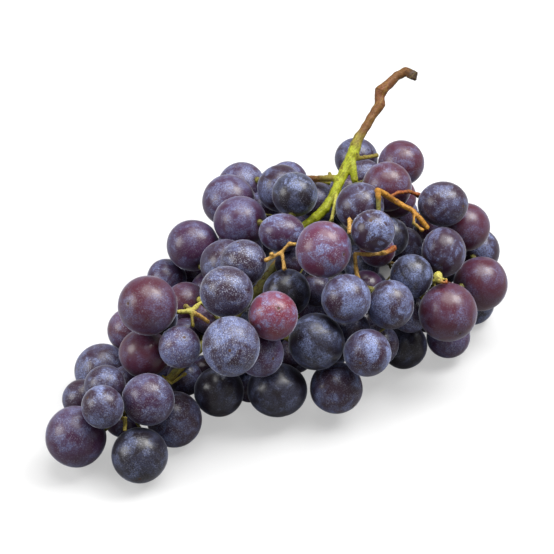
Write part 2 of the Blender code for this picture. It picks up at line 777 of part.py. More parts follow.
class Room:
    """A grid over the bunch, with how much room each of its points has."""

    def __init__(self, bunch):
        self.bunch = bunch
        self.radii = bunch.halves.max(1) * FACET_SWELL
        self.low = bunch.centres.min(0) - GRID_MARGIN
        self.low[2] = 0.0
        high = bunch.centres.max(0) + GRID_MARGIN
        self.shape = tuple(((high - self.low) / GRID).astype(int) + 1)
        axes = [self.low[k] + GRID * np.arange(self.shape[k]) for k in range(3)]
        self.points = np.stack(np.meshgrid(*axes, indexing="ij"), -1).reshape(-1, 3)
        self.clear = self.clearance(self.points)
        self.cost = 1.0 + SHOWING_COST * self.showing() + OPEN_COST * (self.clear > OPEN_CLEARANCE)
        least = THIN_STALK + STALK_GAP
        blocked = (self.clear < least) | (self.clear > OUTSIDE_CLEARANCE) | self.rim()
        self.cost[blocked] = np.inf

    def clearance(self, points):
        """Distance of each point to the nearest skin or to the table."""
        nearest = points[:, 2].copy()
        for centre, radius in zip(self.bunch.centres, self.radii):
            nearest = np.minimum(nearest, np.linalg.norm(points - centre, axis=1) - radius)
        return nearest

    def rim(self):
        edge = np.ones(self.shape, bool)
        edge[1:-1, 1:-1, 1:-1] = False
        return edge.reshape(-1)

    def showing(self):
        """Which grid points the eye sees, past no berry."""
        size = int(2 * PICTURE_MIDDLE) + 1
        down, across = np.mgrid[0:size, 0:size]
        nearest = np.full((size, size), np.inf)
        x, y, depth = picture_place(self.bunch.centres)
        spans = self.bunch.radii * VIEW_DISTANCE / depth / PIXEL
        for cx, cy, deep, span, radius in zip(x, y, depth, spans, self.bunch.radii):
            off = (across - cx) ** 2 + (down - cy) ** 2
            face = deep - radius * np.sqrt(np.maximum(1 - off / span**2, 0))
            nearest = np.where(off < span**2, np.minimum(nearest, face), nearest)
        x, y, depth = picture_place(self.points)
        column = np.clip(x.round().astype(int), 0, size - 1)
        row = np.clip(y.round().astype(int), 0, size - 1)
        return depth < nearest[row, column]

    def cell(self, point):
        """The grid point next to a place, the roomiest of those round it."""
        base = np.floor((point - self.low) / GRID).astype(int)
        best = None
        for dx in (0, 1):
            for dy in (0, 1):
                for dz in (0, 1):
                    spot = np.clip(base + (dx, dy, dz), 1, np.array(self.shape) - 2)
                    index = int(np.ravel_multi_index(tuple(spot), self.shape))
                    if best is None or self.clear[index] > self.clear[best]:
                        best = index
        return best

    def flood(self, sources):
        """Cheapest way from each grid point to the nearest source: its length and its next point."""
        width, height = self.shape[1] * self.shape[2], self.shape[2]
        steps = []
        for dx in (-1, 0, 1):
            for dy in (-1, 0, 1):
                for dz in (-1, 0, 1):
                    if dx or dy or dz:
                        stride = math.sqrt(dx * dx + dy * dy + dz * dz)
                        steps.append((dx * width + dy * height + dz, stride))
        cost = self.cost.tolist()
        length = [math.inf] * len(cost)
        onward = [-1] * len(cost)
        queue = []
        for source in sources:
            length[source] = 0.0
            queue.append((0.0, source))
        heapq.heapify(queue)
        while queue:
            reached, here = heapq.heappop(queue)
            if reached > length[here]:
                continue
            here_cost = min(cost[here], 1.0 + SHOWING_COST)
            for offset, stride in steps:
                there = here + offset
                total = reached + stride * (here_cost + cost[there])
                if total < length[there]:
                    length[there] = total
                    onward[there] = here
                    heapq.heappush(queue, (total, there))
        return np.array(length), onward

    def fits(self, start, end, radius):
        """Whether a straight stalk of this radius passes from start to end."""
        count = max(2, int(np.linalg.norm(end - start) / FIT_STEP) + 2)
        points = start + np.linspace(0, 1, count)[:, None] * (end - start)
        return self.clearance(points).min() >= radius + STALK_GAP


def straightened(room, points, radius, most_sag=SHORTCUT_SAG):
    """A route with the points left out that a straight stretch can skip without straying far."""
    kept = [points[0]]
    start = 0
    while start < len(points) - 1:
        end = start + 1
        for trial in range(start + 2, len(points)):
            middle = np.array(points[start + 1 : trial])
            sag = segment_offsets(middle, points[start][None], points[trial][None])[1].max()
            if sag > most_sag or not room.fits(points[start], points[trial], radius):
                break
            end = trial
        kept.append(points[end])
        start = end
    return kept


class Stalks:
    """The stem, its twigs and the berries' stalks, as routes with radii."""

    def __init__(self, room):
        self.room = room
        self.routes = []
        self.joins = {}
        self.add(room.bunch.stem, room.bunch.stem_radii, STEM_SIDES)
        self.inward = room.flood(self.joins)[1]

    def add(self, points, radii, sides, passed=()):
        """Keep a route, and let later ones join it at the grid points that it passes."""
        points = np.array(points)
        radii = np.array(radii)
        self.routes.append((points, radii, sides))
        for start, end in zip(points[:-1], points[1:]):
            count = max(1, int(np.linalg.norm(end - start) / JOIN_STEP))
            for share in np.linspace(0, 1, count + 1):
                point = start + share * (end - start)
                self.joins.setdefault(self.room.cell(point), point)
        whole = np.linalg.norm(points[1:] - points[:-1], axis=1) > 0.01
        starts, ends = points[:-1][whole], points[1:][whole]
        for here in passed:
            offsets, lengths = segment_offsets(self.room.points[here][None], starts, ends)
            nearest = self.room.points[here] - offsets[0][lengths[0].argmin()]
            self.joins.setdefault(here, nearest)

    def draped(self, points, radii):
        """A route in sight, moved along its sight lines until it clears every berry."""
        kept, kept_radii = [], []
        for start, end, first, last in zip(points[:-1], points[1:], radii[:-1], radii[1:]):
            count = max(1, round(float(np.linalg.norm(end - start)) / TWIG_STEP))
            shares = np.arange(count + 1) / count
            stretch = [self.lifted(start + share * (end - start), max(first, last)) for share in shares]
            if kept:
                stretch[0] = kept[-1]
            for one in range(count):
                self.lift_to_fit(stretch, one, max(first, last))
            spots = straightened(self.room, stretch, max(first, last), TWIG_SAG)
            places = [next(i for i, point in enumerate(stretch) if point is spot) for spot in spots]
            skip = 1 if kept else 0
            kept += spots[skip:]
            kept_radii += [first + shares[i] * (last - first) for i in places[skip:]]
        return kept, kept_radii

    def lift_to_fit(self, stretch, one, radius):
        """Slide the far end of one short stretch along its sight line until a straight stalk fits."""
        spot = stretch[one + 1]
        for point in self.slides(spot):
            if self.room.fits(stretch[one], point, radius):
                stretch[one + 1] = point
                return

    def slides(self, point):
        """Places on a point's sight line, the nearest first, towards the eye and away from it."""
        line = (point - EYE) / np.linalg.norm(point - EYE)
        yield point
        for step in range(1, MOST_LIFTS):
            yield point - line * step * LIFT_STEP
            yield point + line * step * LIFT_STEP

    def lifted(self, point, radius):
        """The nearest place on a point's sight line where a stalk of this radius clears every berry."""
        for place in self.slides(point):
            if self.room.clearance(place[None])[0] >= radius + STALK_GAP + LIFT_MARGIN:
                return place
        raise ValueError("a twig lies too deep among the berries")

    def add_twig(self, twig):
        """A twig in sight, joined by a way out of sight to what has grown so far."""
        radii = [point.radius for point in twig]
        points = [on_sight(point.across, point.down, point.height) for point in twig]
        points, radii = self.draped(points, radii)
        starts = np.concatenate([route[0][:-1] for route in self.routes])
        ends = np.concatenate([route[0][1:] for route in self.routes])
        offsets, lengths = segment_offsets(points[0][None], starts, ends)
        if lengths.min() < NEAR_STEM:
            root = points[0] - offsets[0][lengths[0].argmin()]
            self.add([root] + points, [radii[0]] + radii, TWIG_SIDES)
            return
        here = self.room.cell(points[0])
        passed = [here]
        while here not in self.joins:
            here = self.inward[here]
            if here < 0:
                raise ValueError("a twig starts too far out to reach the stem")
            passed.append(here)
        way = [points[0]] + [self.room.points[here] for here in passed] + [self.joins[here]]
        way = straightened(self.room, way[::-1], THIN_STALK)
        limits = self.room.clearance(np.array(way[:-1])) - STALK_GAP
        way_radii = np.clip(np.minimum(limits, radii[0]), THIN_STALK, None)
        self.add(way[:-1] + points, list(way_radii) + radii, TWIG_SIDES, passed)

    def add_berry_stalks(self):
        """A stalk for each berry, those from one side of the bunch running together on their way."""
        room = self.room
        bunch = room.bunch
        length, onward = room.flood(self.joins)
        visible = room.showing()
        chains = []
        for index, centre in enumerate(bunch.centres):
            away = np.linalg.norm(room.points - centre, axis=1) - room.radii[index]
            near = np.flatnonzero((away < STALK_REACH) & np.isfinite(length))
            if not len(near):
                continue
            worth = length[near] + SHOWING_PENALTY * visible[near] + REACH_PENALTY * away[near]
            pick = near[worth.argmin()]
            chain = [int(pick)]
            while chain[-1] not in self.joins:
                chain.append(onward[chain[-1]])
            chains.append((float(length[pick]), index, chain))
        served = {}
        for _, _, chain in chains:
            for here in chain:
                served[here] = served.get(here, 0) + 1
        for _, index, chain in sorted(chains, reverse=True):
            self.add_stalk(index, chain, served)

    def add_stalk(self, index, chain, served):
        room = self.room
        centre = room.bunch.centres[index]
        stop = next(i for i, here in enumerate(chain) if here in self.joins)
        cells = chain[: stop + 1][::-1]
        way = [self.joins[cells[0]]] + [room.points[here] for here in cells]
        way = straightened(room, way, THIN_STALK)
        toward = centre - way[-1]
        toward = toward / np.linalg.norm(toward)
        tip = centre - toward * (room.radii[index] + STALK_GAP)
        points = np.array(way + [tip])
        wanted = [STALK_RADIUS * self.bulk(point, cells, served) for point in points[:-1]]
        wanted.append(END_RADIUS)
        limits = room.clearance(points) - STALK_GAP
        limits[-1] = self.clear_of_others(points[-1:], index)[0] - STALK_GAP
        radii = np.clip(np.minimum(wanted, limits), THINNEST_STALK, None)
        self.add(points, radii, STALK_SIDES, cells)

    def clear_of_others(self, points, index):
        """Clearance of a stalk's end to every berry but its own."""
        nearest = points[:, 2].copy()
        for other, (centre, radius) in enumerate(zip(self.room.bunch.centres, self.room.radii)):
            if other != index:
                nearest = np.minimum(nearest, np.linalg.norm(points - centre, axis=1) - radius)
        return nearest

    def bulk(self, point, cells, served):
        """How much thicker a stalk is where it feeds several berries."""
        offsets = np.linalg.norm(self.room.points[cells] - point, axis=1)
        return served.get(cells[int(offsets.argmin())], 1) ** BRANCH_GROWTH


def section_object(sides, collection):
    """A flat ring of points that a stalk's section follows."""
    data = bpy.data.curves.new("section", "CURVE")
    ring = data.splines.new("POLY")
    ring.points.add(sides - 1)
    for number, spot in enumerate(ring.points):
        angle = 2 * math.pi * number / sides
        spot.co = (math.cos(angle) * MM, math.sin(angle) * MM, 0.0, 1.0)
    ring.use_cyclic_u = True
    made = bpy.data.objects.new("section", data)
    made.hide_render = True
    made.display_type = "WIRE"
    collection.objects.link(made)
    return made


def tube_object(name, points, radii, section, collection):
    """A stalk: a curve with a section of few sides and closed ends, made into a mesh."""
    data = bpy.data.curves.new(name, "CURVE")
    data.dimensions = "3D"
    data.bevel_mode = "OBJECT"
    data.bevel_object = section
    data.use_fill_caps = True
    line = data.splines.new("POLY")
    line.points.add(len(points) - 1)
    for spot, point, radius in zip(line.points, points, radii):
        spot.co = (*(point * MM), 1.0)
        spot.radius = radius
    curve = bpy.data.objects.new(name + " curve", data)
    collection.objects.link(curve)
    bpy.context.view_layer.update()
    graph = bpy.context.evaluated_depsgraph_get()
    mesh = bpy.data.meshes.new_from_object(curve.evaluated_get(graph))
    tube = bpy.data.objects.new(name, mesh)
    tube.matrix_world = curve.matrix_world
    collection.objects.link(tube)
    bpy.data.objects.remove(curve, do_unlink=True)
    shape = bmesh.new()
    shape.from_mesh(mesh)
    bmesh.ops.remove_doubles(shape, verts=shape.verts, dist=MERGE)
    bmesh.ops.recalc_face_normals(shape, faces=shape.faces)
    shape.to_mesh(mesh)
    shape.free()
    return tube


def spaced(points, radii):
    """A route without points that nearly fall together, its two ends kept."""
    keep = [0]
    for i in range(1, len(points) - 1):
        far_enough = np.linalg.norm(points[i] - points[keep[-1]]) > LEAST_STEP
        if far_enough and np.linalg.norm(points[i] - points[-1]) > LEAST_STEP:
            keep.append(i)
    keep.append(len(points) - 1)
    return points[keep], radii[keep]


def build_stem(bunch, collection, skin):
    stalks = Stalks(Room(bunch))
    for twig in TWIGS.values():
        stalks.add_twig(twig)
    stalks.add_berry_stalks()
    pieces = []
    sections = {}
    for sides in (STALK_SIDES, TWIG_SIDES, STEM_SIDES):
        sections[sides] = section_object(sides, collection)
    for number, (points, radii, sides) in enumerate(stalks.routes):
        points, radii = spaced(points, radii)
        pieces.append(tube_object(f"stalk {number}", points, radii, sections[sides], collection))
    for section in sections.values():
        bpy.data.objects.remove(section, do_unlink=True)
    return fused("stem", pieces, collection, skin)


def build_sprays(bunch, collection, skin):
    spray, parent = grow_sprays(bunch)
    draw = np.random.default_rng(SEED + 1)
    for name in SPRAY_SEEDS:
        members = [i for i, own in enumerate(spray) if own == name]
        pieces = [berry_object(f"{name} {i}", bunch, i, draw, collection) for i in members]
        for i in members:
            if parent[i] >= 0:
                pieces.append(pad_object(f"{name} pad {i}", bunch, i, parent[i], collection))
        fused(name, pieces, collection, skin)


def rest_in_middle(collection):
    """Put the middle of the bunch's box over the origin, on the table."""
    corners = np.array([corner.co for body in collection.objects for corner in body.data.vertices])
    middle = (corners.min(0) + corners.max(0)) / 2
    for body in collection.objects:
        for corner in body.data.vertices:
            corner.co.x -= middle[0]
            corner.co.y -= middle[1]


def main():
    clear_scene()
    collection = bpy.data.collections.new("grape_bunch")
    bpy.context.scene.collection.children.link(collection)
    bunch = lay_out()
    build_sprays(bunch, collection, material("berry_skin", SKIN_COLOUR, SKIN_ROUGHNESS))
    build_stem(bunch, collection, material("stem", STEM_COLOUR, STEM_ROUGHNESS))
    rest_in_middle(collection)


main()
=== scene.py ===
"""The looks of a bunch of dark grapes: bloomy skins on its berries, and bark, knuckles and green on its stem.

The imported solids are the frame. Each spray of faceted berries is read back into single berries, and a finer
piece of round, pressed and scarred berries takes its place. The faceted stem is rounded, swells where it
meets each berry, and gets its colours from the parts of the stem that they were seen on.
"""

import json
import logging
import math
from dataclasses import dataclass
from enum import Enum

import bmesh
import bpy
import numpy as np
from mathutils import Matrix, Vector

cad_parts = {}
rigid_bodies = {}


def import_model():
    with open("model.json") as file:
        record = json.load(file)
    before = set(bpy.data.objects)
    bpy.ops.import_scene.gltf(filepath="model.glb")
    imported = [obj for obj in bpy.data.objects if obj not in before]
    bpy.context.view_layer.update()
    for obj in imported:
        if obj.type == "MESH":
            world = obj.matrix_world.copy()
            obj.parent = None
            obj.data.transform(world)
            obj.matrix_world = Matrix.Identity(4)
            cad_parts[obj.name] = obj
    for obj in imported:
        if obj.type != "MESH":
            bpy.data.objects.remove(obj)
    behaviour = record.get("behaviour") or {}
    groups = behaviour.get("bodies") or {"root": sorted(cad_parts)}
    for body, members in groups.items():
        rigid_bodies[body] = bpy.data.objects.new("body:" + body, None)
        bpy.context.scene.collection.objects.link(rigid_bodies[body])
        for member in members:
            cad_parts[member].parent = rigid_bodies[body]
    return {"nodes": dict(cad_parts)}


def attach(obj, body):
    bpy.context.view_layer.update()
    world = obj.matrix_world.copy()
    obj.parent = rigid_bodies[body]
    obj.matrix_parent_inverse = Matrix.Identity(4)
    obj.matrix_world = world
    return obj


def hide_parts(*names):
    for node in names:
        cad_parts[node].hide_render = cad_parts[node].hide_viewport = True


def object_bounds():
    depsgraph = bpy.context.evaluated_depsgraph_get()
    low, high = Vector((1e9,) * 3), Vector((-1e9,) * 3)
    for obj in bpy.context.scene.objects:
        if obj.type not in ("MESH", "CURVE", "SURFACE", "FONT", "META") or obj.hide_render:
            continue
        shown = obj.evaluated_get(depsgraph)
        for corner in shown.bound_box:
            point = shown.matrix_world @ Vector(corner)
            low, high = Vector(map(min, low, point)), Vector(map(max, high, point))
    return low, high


for startup_thing in list(bpy.data.objects):
    bpy.data.objects.remove(startup_thing, do_unlink=True)
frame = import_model()
CAD_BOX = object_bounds()

MM = 0.001
LOG = logging.getLogger("grapes")

Socket = bpy.types.NodeSocket
Tree = bpy.types.NodeTree
Colour = tuple[float, float, float, float]
Feed = Socket | float | Colour


# The view


@dataclass(frozen=True)
class PhotoView:
    """The camera's place, and where points land in its square picture. Lengths are in mm.

    Attributes:
        eye: the camera's place in the frame.
        elevation: how far the camera looks down, in degrees.
        distance: from the camera to the plane that it frames.
        pixel: mm of that plane in one picture pixel.
        picture: the picture's side in pixels.
        sensor: the width of the camera's sensor.
    """

    eye: tuple[float, float, float] = (-2.60, -677.06, 603.51)
    elevation: float = 40.0
    distance: float = 900.0
    pixel: float = 0.4
    picture: float = 554.0
    sensor: float = 36.0

    @property
    def ahead(self) -> np.ndarray:
        """The direction that the camera looks in."""
        angle = math.radians(self.elevation)
        return np.array([0.0, math.cos(angle), -math.sin(angle)])

    @property
    def upward(self) -> np.ndarray:
        """The direction that is up in the picture."""
        angle = math.radians(self.elevation)
        return np.array([0.0, math.sin(angle), math.cos(angle)])

    @property
    def axes(self) -> np.ndarray:
        """Right, ahead and up in the picture, as columns."""
        return np.stack([np.array([1.0, 0.0, 0.0]), self.ahead, self.upward], 1)

    def place(self, points: np.ndarray) -> tuple[np.ndarray, np.ndarray]:
        """Find where points land in the picture.

        Args:
            points: rows of x, y, z in mm.

        Returns:
            Their pixels across and down.
        """
        offset = points - np.array(self.eye)
        depth = offset @ self.ahead
        across = self.picture / 2 + offset[:, 0] * self.distance / depth / self.pixel
        down = self.picture / 2 - (offset @ self.upward) * self.distance / depth / self.pixel
        return across, down

    def add_camera(self) -> None:
        """Put the camera in the scene."""
        data = bpy.data.cameras.new("photo_view")
        data.sensor_width = self.sensor
        data.lens = self.sensor * self.distance / (self.picture * self.pixel)
        data.clip_start = 0.05
        data.clip_end = 20.0
        camera = bpy.data.objects.new("photo_view", data)
        camera.location = Vector(self.eye) * MM
        camera.rotation_euler = (math.radians(90.0 - self.elevation), 0.0, 0.0)
        bpy.context.scene.collection.objects.link(camera)
        bpy.context.scene.camera = camera


VIEW = PhotoView()


# Finishes


class Tone(Enum):
    """The skin colours of ripe berries, from the darkest to the reddest."""

    NEAR_BLACK = (0.010, 0.006, 0.010)
    DARK_PURPLE = (0.025, 0.008, 0.020)
    VIOLET = (0.038, 0.010, 0.034)
    PLUM = (0.060, 0.010, 0.022)
    MAUVE = (0.080, 0.016, 0.040)
    CRIMSON = (0.125, 0.014, 0.028)


@dataclass(frozen=True)
class Wax:
    """How much bloom a berry carries.

    Attributes:
        bloom: how thick the even film is.
        rub: how much of it is rubbed off in patches.
        frost: how strong its pale speckle is.
    """

    bloom: float = 0.42
    rub: float = 0.5
    frost: float = 0.3


@dataclass(frozen=True)
class NotedBerry:
    """A berry whose skin was seen to differ from the common one.

    Attributes:
        across: its middle's pixels across the picture.
        down: its middle's pixels down the picture.
        tone: its skin colour.
        wax: its bloom.
    """

    across: float
    down: float
    tone: Tone
    wax: Wax


BLUE_BLOOM = Wax(0.72, 0.45, 0.45)
FROSTED = Wax(0.60, 0.35, 0.85)
THIN_BLOOM = Wax(0.20, 0.6, 0.15)
RUBBED = Wax(0.62, 0.95, 0.45)

# How far a berry's middle may land from a noted place, in pixels
NOTED_REACH = 5.0

NOTED_BERRIES = (
    NotedBerry(273, 316.2, Tone.CRIMSON, Wax(0.48, 0.7, 0.6)),
    NotedBerry(323.2, 249.5, Tone.MAUVE, Wax(0.55, 0.7, 0.5)),
    NotedBerry(465.7, 226.8, Tone.PLUM, THIN_BLOOM),
    NotedBerry(480.6, 283.9, Tone.PLUM, THIN_BLOOM),
    NotedBerry(447.9, 311.4, Tone.PLUM, Wax(0.25, 0.6, 0.2)),
    NotedBerry(387, 186.5, Tone.PLUM, Wax(0.35, 0.6, 0.3)),
    NotedBerry(401.4, 163.3, Tone.PLUM, Wax(0.3, 0.6, 0.2)),
    NotedBerry(394, 197, Tone.PLUM, THIN_BLOOM),
    NotedBerry(147.8, 305.5, Tone.PLUM, Wax(0.25, 0.5, 0.25)),
    NotedBerry(144.2, 353.1, Tone.PLUM, THIN_BLOOM),
    NotedBerry(185.5, 303.4, Tone.PLUM, Wax(0.35, 0.5, 0.3)),
    NotedBerry(373.9, 230.8, Tone.DARK_PURPLE, RUBBED),
    NotedBerry(390, 304.5, Tone.DARK_PURPLE, BLUE_BLOOM),
    NotedBerry(346, 298.8, Tone.DARK_PURPLE, BLUE_BLOOM),
    NotedBerry(281.8, 233, Tone.VIOLET, Wax(0.6, 0.8, 0.4)),
    NotedBerry(367.4, 352.8, Tone.DARK_PURPLE, BLUE_BLOOM),
    NotedBerry(336.1, 387.3, Tone.DARK_PURPLE, Wax(0.6, 0.5, 0.4)),
    NotedBerry(231.2, 346.3, Tone.DARK_PURPLE, FROSTED),
    NotedBerry(179.3, 347, Tone.VIOLET, FROSTED),
    NotedBerry(225.9, 291.7, Tone.DARK_PURPLE, Wax(0.45, 0.6, 0.85)),
    NotedBerry(243.5, 262.5, Tone.DARK_PURPLE, Wax(0.45, 0.5, 0.8)),
    NotedBerry(148, 400, Tone.VIOLET, Wax(0.5, 0.5, 0.7)),
    NotedBerry(102.8, 406.5, Tone.DARK_PURPLE, Wax(0.55, 0.5, 0.5)),
    NotedBerry(277.2, 390, Tone.NEAR_BLACK, THIN_BLOOM),
    NotedBerry(219, 391.4, Tone.NEAR_BLACK, Wax(0.22, 0.6, 0.2)),
    NotedBerry(404, 346, Tone.NEAR_BLACK, THIN_BLOOM),
    NotedBerry(139.7, 455.3, Tone.NEAR_BLACK, Wax(0.3, 0.6, 0.35)),
    NotedBerry(240, 222, Tone.VIOLET, Wax(0.3, 0.6, 0.25)),
    NotedBerry(192.7, 245.8, Tone.VIOLET, Wax(0.3, 0.6, 0.25)),
    NotedBerry(228.8, 200.8, Tone.VIOLET, Wax(0.35, 0.6, 0.3)),
    NotedBerry(360.3, 206.3, Tone.DARK_PURPLE, Wax(0.45, 0.7, 0.35)),
)


def number(tree: Tree, operation: str, *values: Feed) -> Socket:
    """Add a Math node.

    Args:
        tree: the tree that it goes in.
        operation: the node's operation.
        values: its inputs, each a socket or a number.

    Returns:
        The node's output.
    """
    node = tree.nodes.new("ShaderNodeMath")
    node.operation = operation
    for socket, value in zip(node.inputs, values):
        join(tree, socket, value)
    return node.outputs[0]


def join(tree: Tree, socket: Socket, value: Feed) -> None:
    """Link a socket to another one, or set it.

    Args:
        tree: the tree that they are in.
        socket: the socket that is fed.
        value: the other socket, a number or a colour.
    """
    if isinstance(value, Socket):
        tree.links.new(value, socket)
    else:
        socket.default_value = value


def ramp(tree: Tree, value: Feed, low: float, high: float) -> Socket:
    """Add a smooth step.

    Args:
        tree: the tree that it goes in.
        value: the socket that it reads.
        low: the value that gives 0.
        high: the value that gives 1.

    Returns:
        The step, from 0 to 1.
    """
    node = tree.nodes.new("ShaderNodeMapRange")
    node.interpolation_type = "SMOOTHSTEP"
    join(tree, node.inputs["Value"], value)
    node.inputs["From Min"].default_value = low
    node.inputs["From Max"].default_value = high
    return node.outputs["Result"]


def blend(tree: Tree, share: Feed, first: Feed, second: Feed) -> Socket:
    """Add a mix of two colours.

    Args:
        tree: the tree that it goes in.
        share: how much of the second colour there is.
        first: the first colour, a socket or a value.
        second: the second colour, a socket or a value.

    Returns:
        The mixed colour.
    """
    node = tree.nodes.new("ShaderNodeMix")
    node.data_type = "RGBA"
    join(tree, node.inputs[0], share)
    join(tree, node.inputs[6], first)
    join(tree, node.inputs[7], second)
    return node.outputs[2]


def noise(tree: Tree, place: Socket, scale: float, detail: float, warp: float = 0.0) -> Socket:
    """Add a noise texture.

    Args:
        tree: the tree that it goes in.
        place: the socket with the coordinates.
        scale: spots in one unit of the coordinates.
        detail: how many finer layers it has.
        warp: how far it is distorted.

    Returns:
        Its value, about 0.5 on average.
    """
    node = tree.nodes.new("ShaderNodeTexNoise")
    join(tree, node.inputs["Vector"], place)
    node.inputs["Scale"].default_value = scale
    node.inputs["Detail"].default_value = detail
    node.inputs["Distortion"].default_value = warp
    return node.outputs["Fac"]


def dots(tree: Tree, place: Socket, scale: float, size: float) -> Socket:
    """Add scattered soft dots.

    Args:
        tree: the tree that it goes in.
        place: the socket with the coordinates.
        scale: dots in one unit of the coordinates.
        size: a dot's radius as a share of the space between dots.

    Returns:
        A mask that is 1 in the middle of each dot.
    """
    node = tree.nodes.new("ShaderNodeTexVoronoi")
    join(tree, node.inputs["Vector"], place)
    node.inputs["Scale"].default_value = scale
    return ramp(tree, node.outputs["Distance"], size, size * 0.4)


def attribute(tree: Tree, name: str, output: str) -> Socket:
    """Read an attribute of the piece.

    Args:
        tree: the material's tree.
        name: the attribute's name.
        output: how it is read, as a Color or a Vector.

    Returns:
        The socket that gives it.
    """
    node = tree.nodes.new("ShaderNodeAttribute")
    node.attribute_name = name
    return node.outputs[output]


def split(tree: Tree, vector: Socket) -> list[Socket]:
    """Take a vector apart.

    Args:
        tree: the tree that it is in.
        vector: the socket with the vector.

    Returns:
        Its three numbers.
    """
    node = tree.nodes.new("ShaderNodeSeparateXYZ")
    join(tree, node.inputs[0], vector)
    return list(node.outputs)


def new_group(
    name: str, inputs: dict[str, str], outputs: dict[str, str]
) -> tuple[Tree, bpy.types.Node, bpy.types.Node]:
    """Start a shader node group with named sockets.

    Args:
        name: the group's name.
        inputs: each input's name and socket type.
        outputs: each output's name and socket type.

    Returns:
        The group, its input node and its output node.
    """
    group = bpy.data.node_groups.new(name, "ShaderNodeTree")
    for label, kind in inputs.items():
        group.interface.new_socket(name=label, in_out="INPUT", socket_type=kind)
    for label, kind in outputs.items():
        group.interface.new_socket(name=label, in_out="OUTPUT", socket_type=kind)
    return group, group.nodes.new("NodeGroupInput"), group.nodes.new("NodeGroupOutput")


def mottle_group() -> Tree:
    """Build the group that skin and stem share: uneven patches, a fine grain and small dark specks.

    Returns:
        The group. Place is in mm, Patch, Grain and Speck are from 0 to 1.
    """
    found = bpy.data.node_groups.get("mottle")
    if found:
        return found
    float_socket = "NodeSocketFloat"
    group, inside, outside = new_group(
        "mottle",
        {"Place": "NodeSocketVector"},
        {"Patch": float_socket, "Grain": float_socket, "Speck": float_socket},
    )
    place = inside.outputs["Place"]
    coarse = noise(group, place, 0.16, 3.0, 0.6)
    group.links.new(ramp(group, coarse, 0.36, 0.64), outside.inputs["Patch"])
    fine = noise(group, place, 1.9, 4.0)
    group.links.new(ramp(group, fine, 0.3, 0.72), outside.inputs["Grain"])
    specks = dots(group, place, 0.62, 0.2)
    kept = ramp(group, noise(group, place, 0.5, 1.0), 0.45, 0.62)
    group.links.new(number(group, "MULTIPLY", specks, kept), outside.inputs["Speck"])
    return group


def new_material(name: str) -> tuple[bpy.types.Material, Tree, bpy.types.Node]:
    """Start a material.

    Args:
        name: the material's name.

    Returns:
        The material, its tree and its Principled shader.
    """
    made = bpy.data.materials.new(name)
    made.use_nodes = True
    return made, made.node_tree, made.node_tree.nodes["Principled BSDF"]


def add_mottle(tree: Tree, place: Socket) -> bpy.types.Node:
    """Place the mottle group in a material.

    Args:
        tree: the material's tree.
        place: the socket with coordinates in mm.

    Returns:
        The group's node.
    """
    node = tree.nodes.new("ShaderNodeGroup")
    node.node_tree = mottle_group()
    join(tree, node.inputs["Place"], place)
    return node


def add_bump(tree: Tree, shader: bpy.types.Node, height: Socket, depth: float, strength: float) -> None:
    """Give a shader a bump.

    Args:
        tree: the material's tree.
        shader: the Principled shader.
        height: the socket with the height, from 0 to 1.
        depth: how high 1 stands, in metres.
        strength: how strongly it shows.
    """
    bump = tree.nodes.new("ShaderNodeBump")
    bump.inputs["Distance"].default_value = depth
    bump.inputs["Strength"].default_value = strength
    join(tree, bump.inputs["Height"], height)
    tree.links.new(bump.outputs["Normal"], shader.inputs["Normal"])


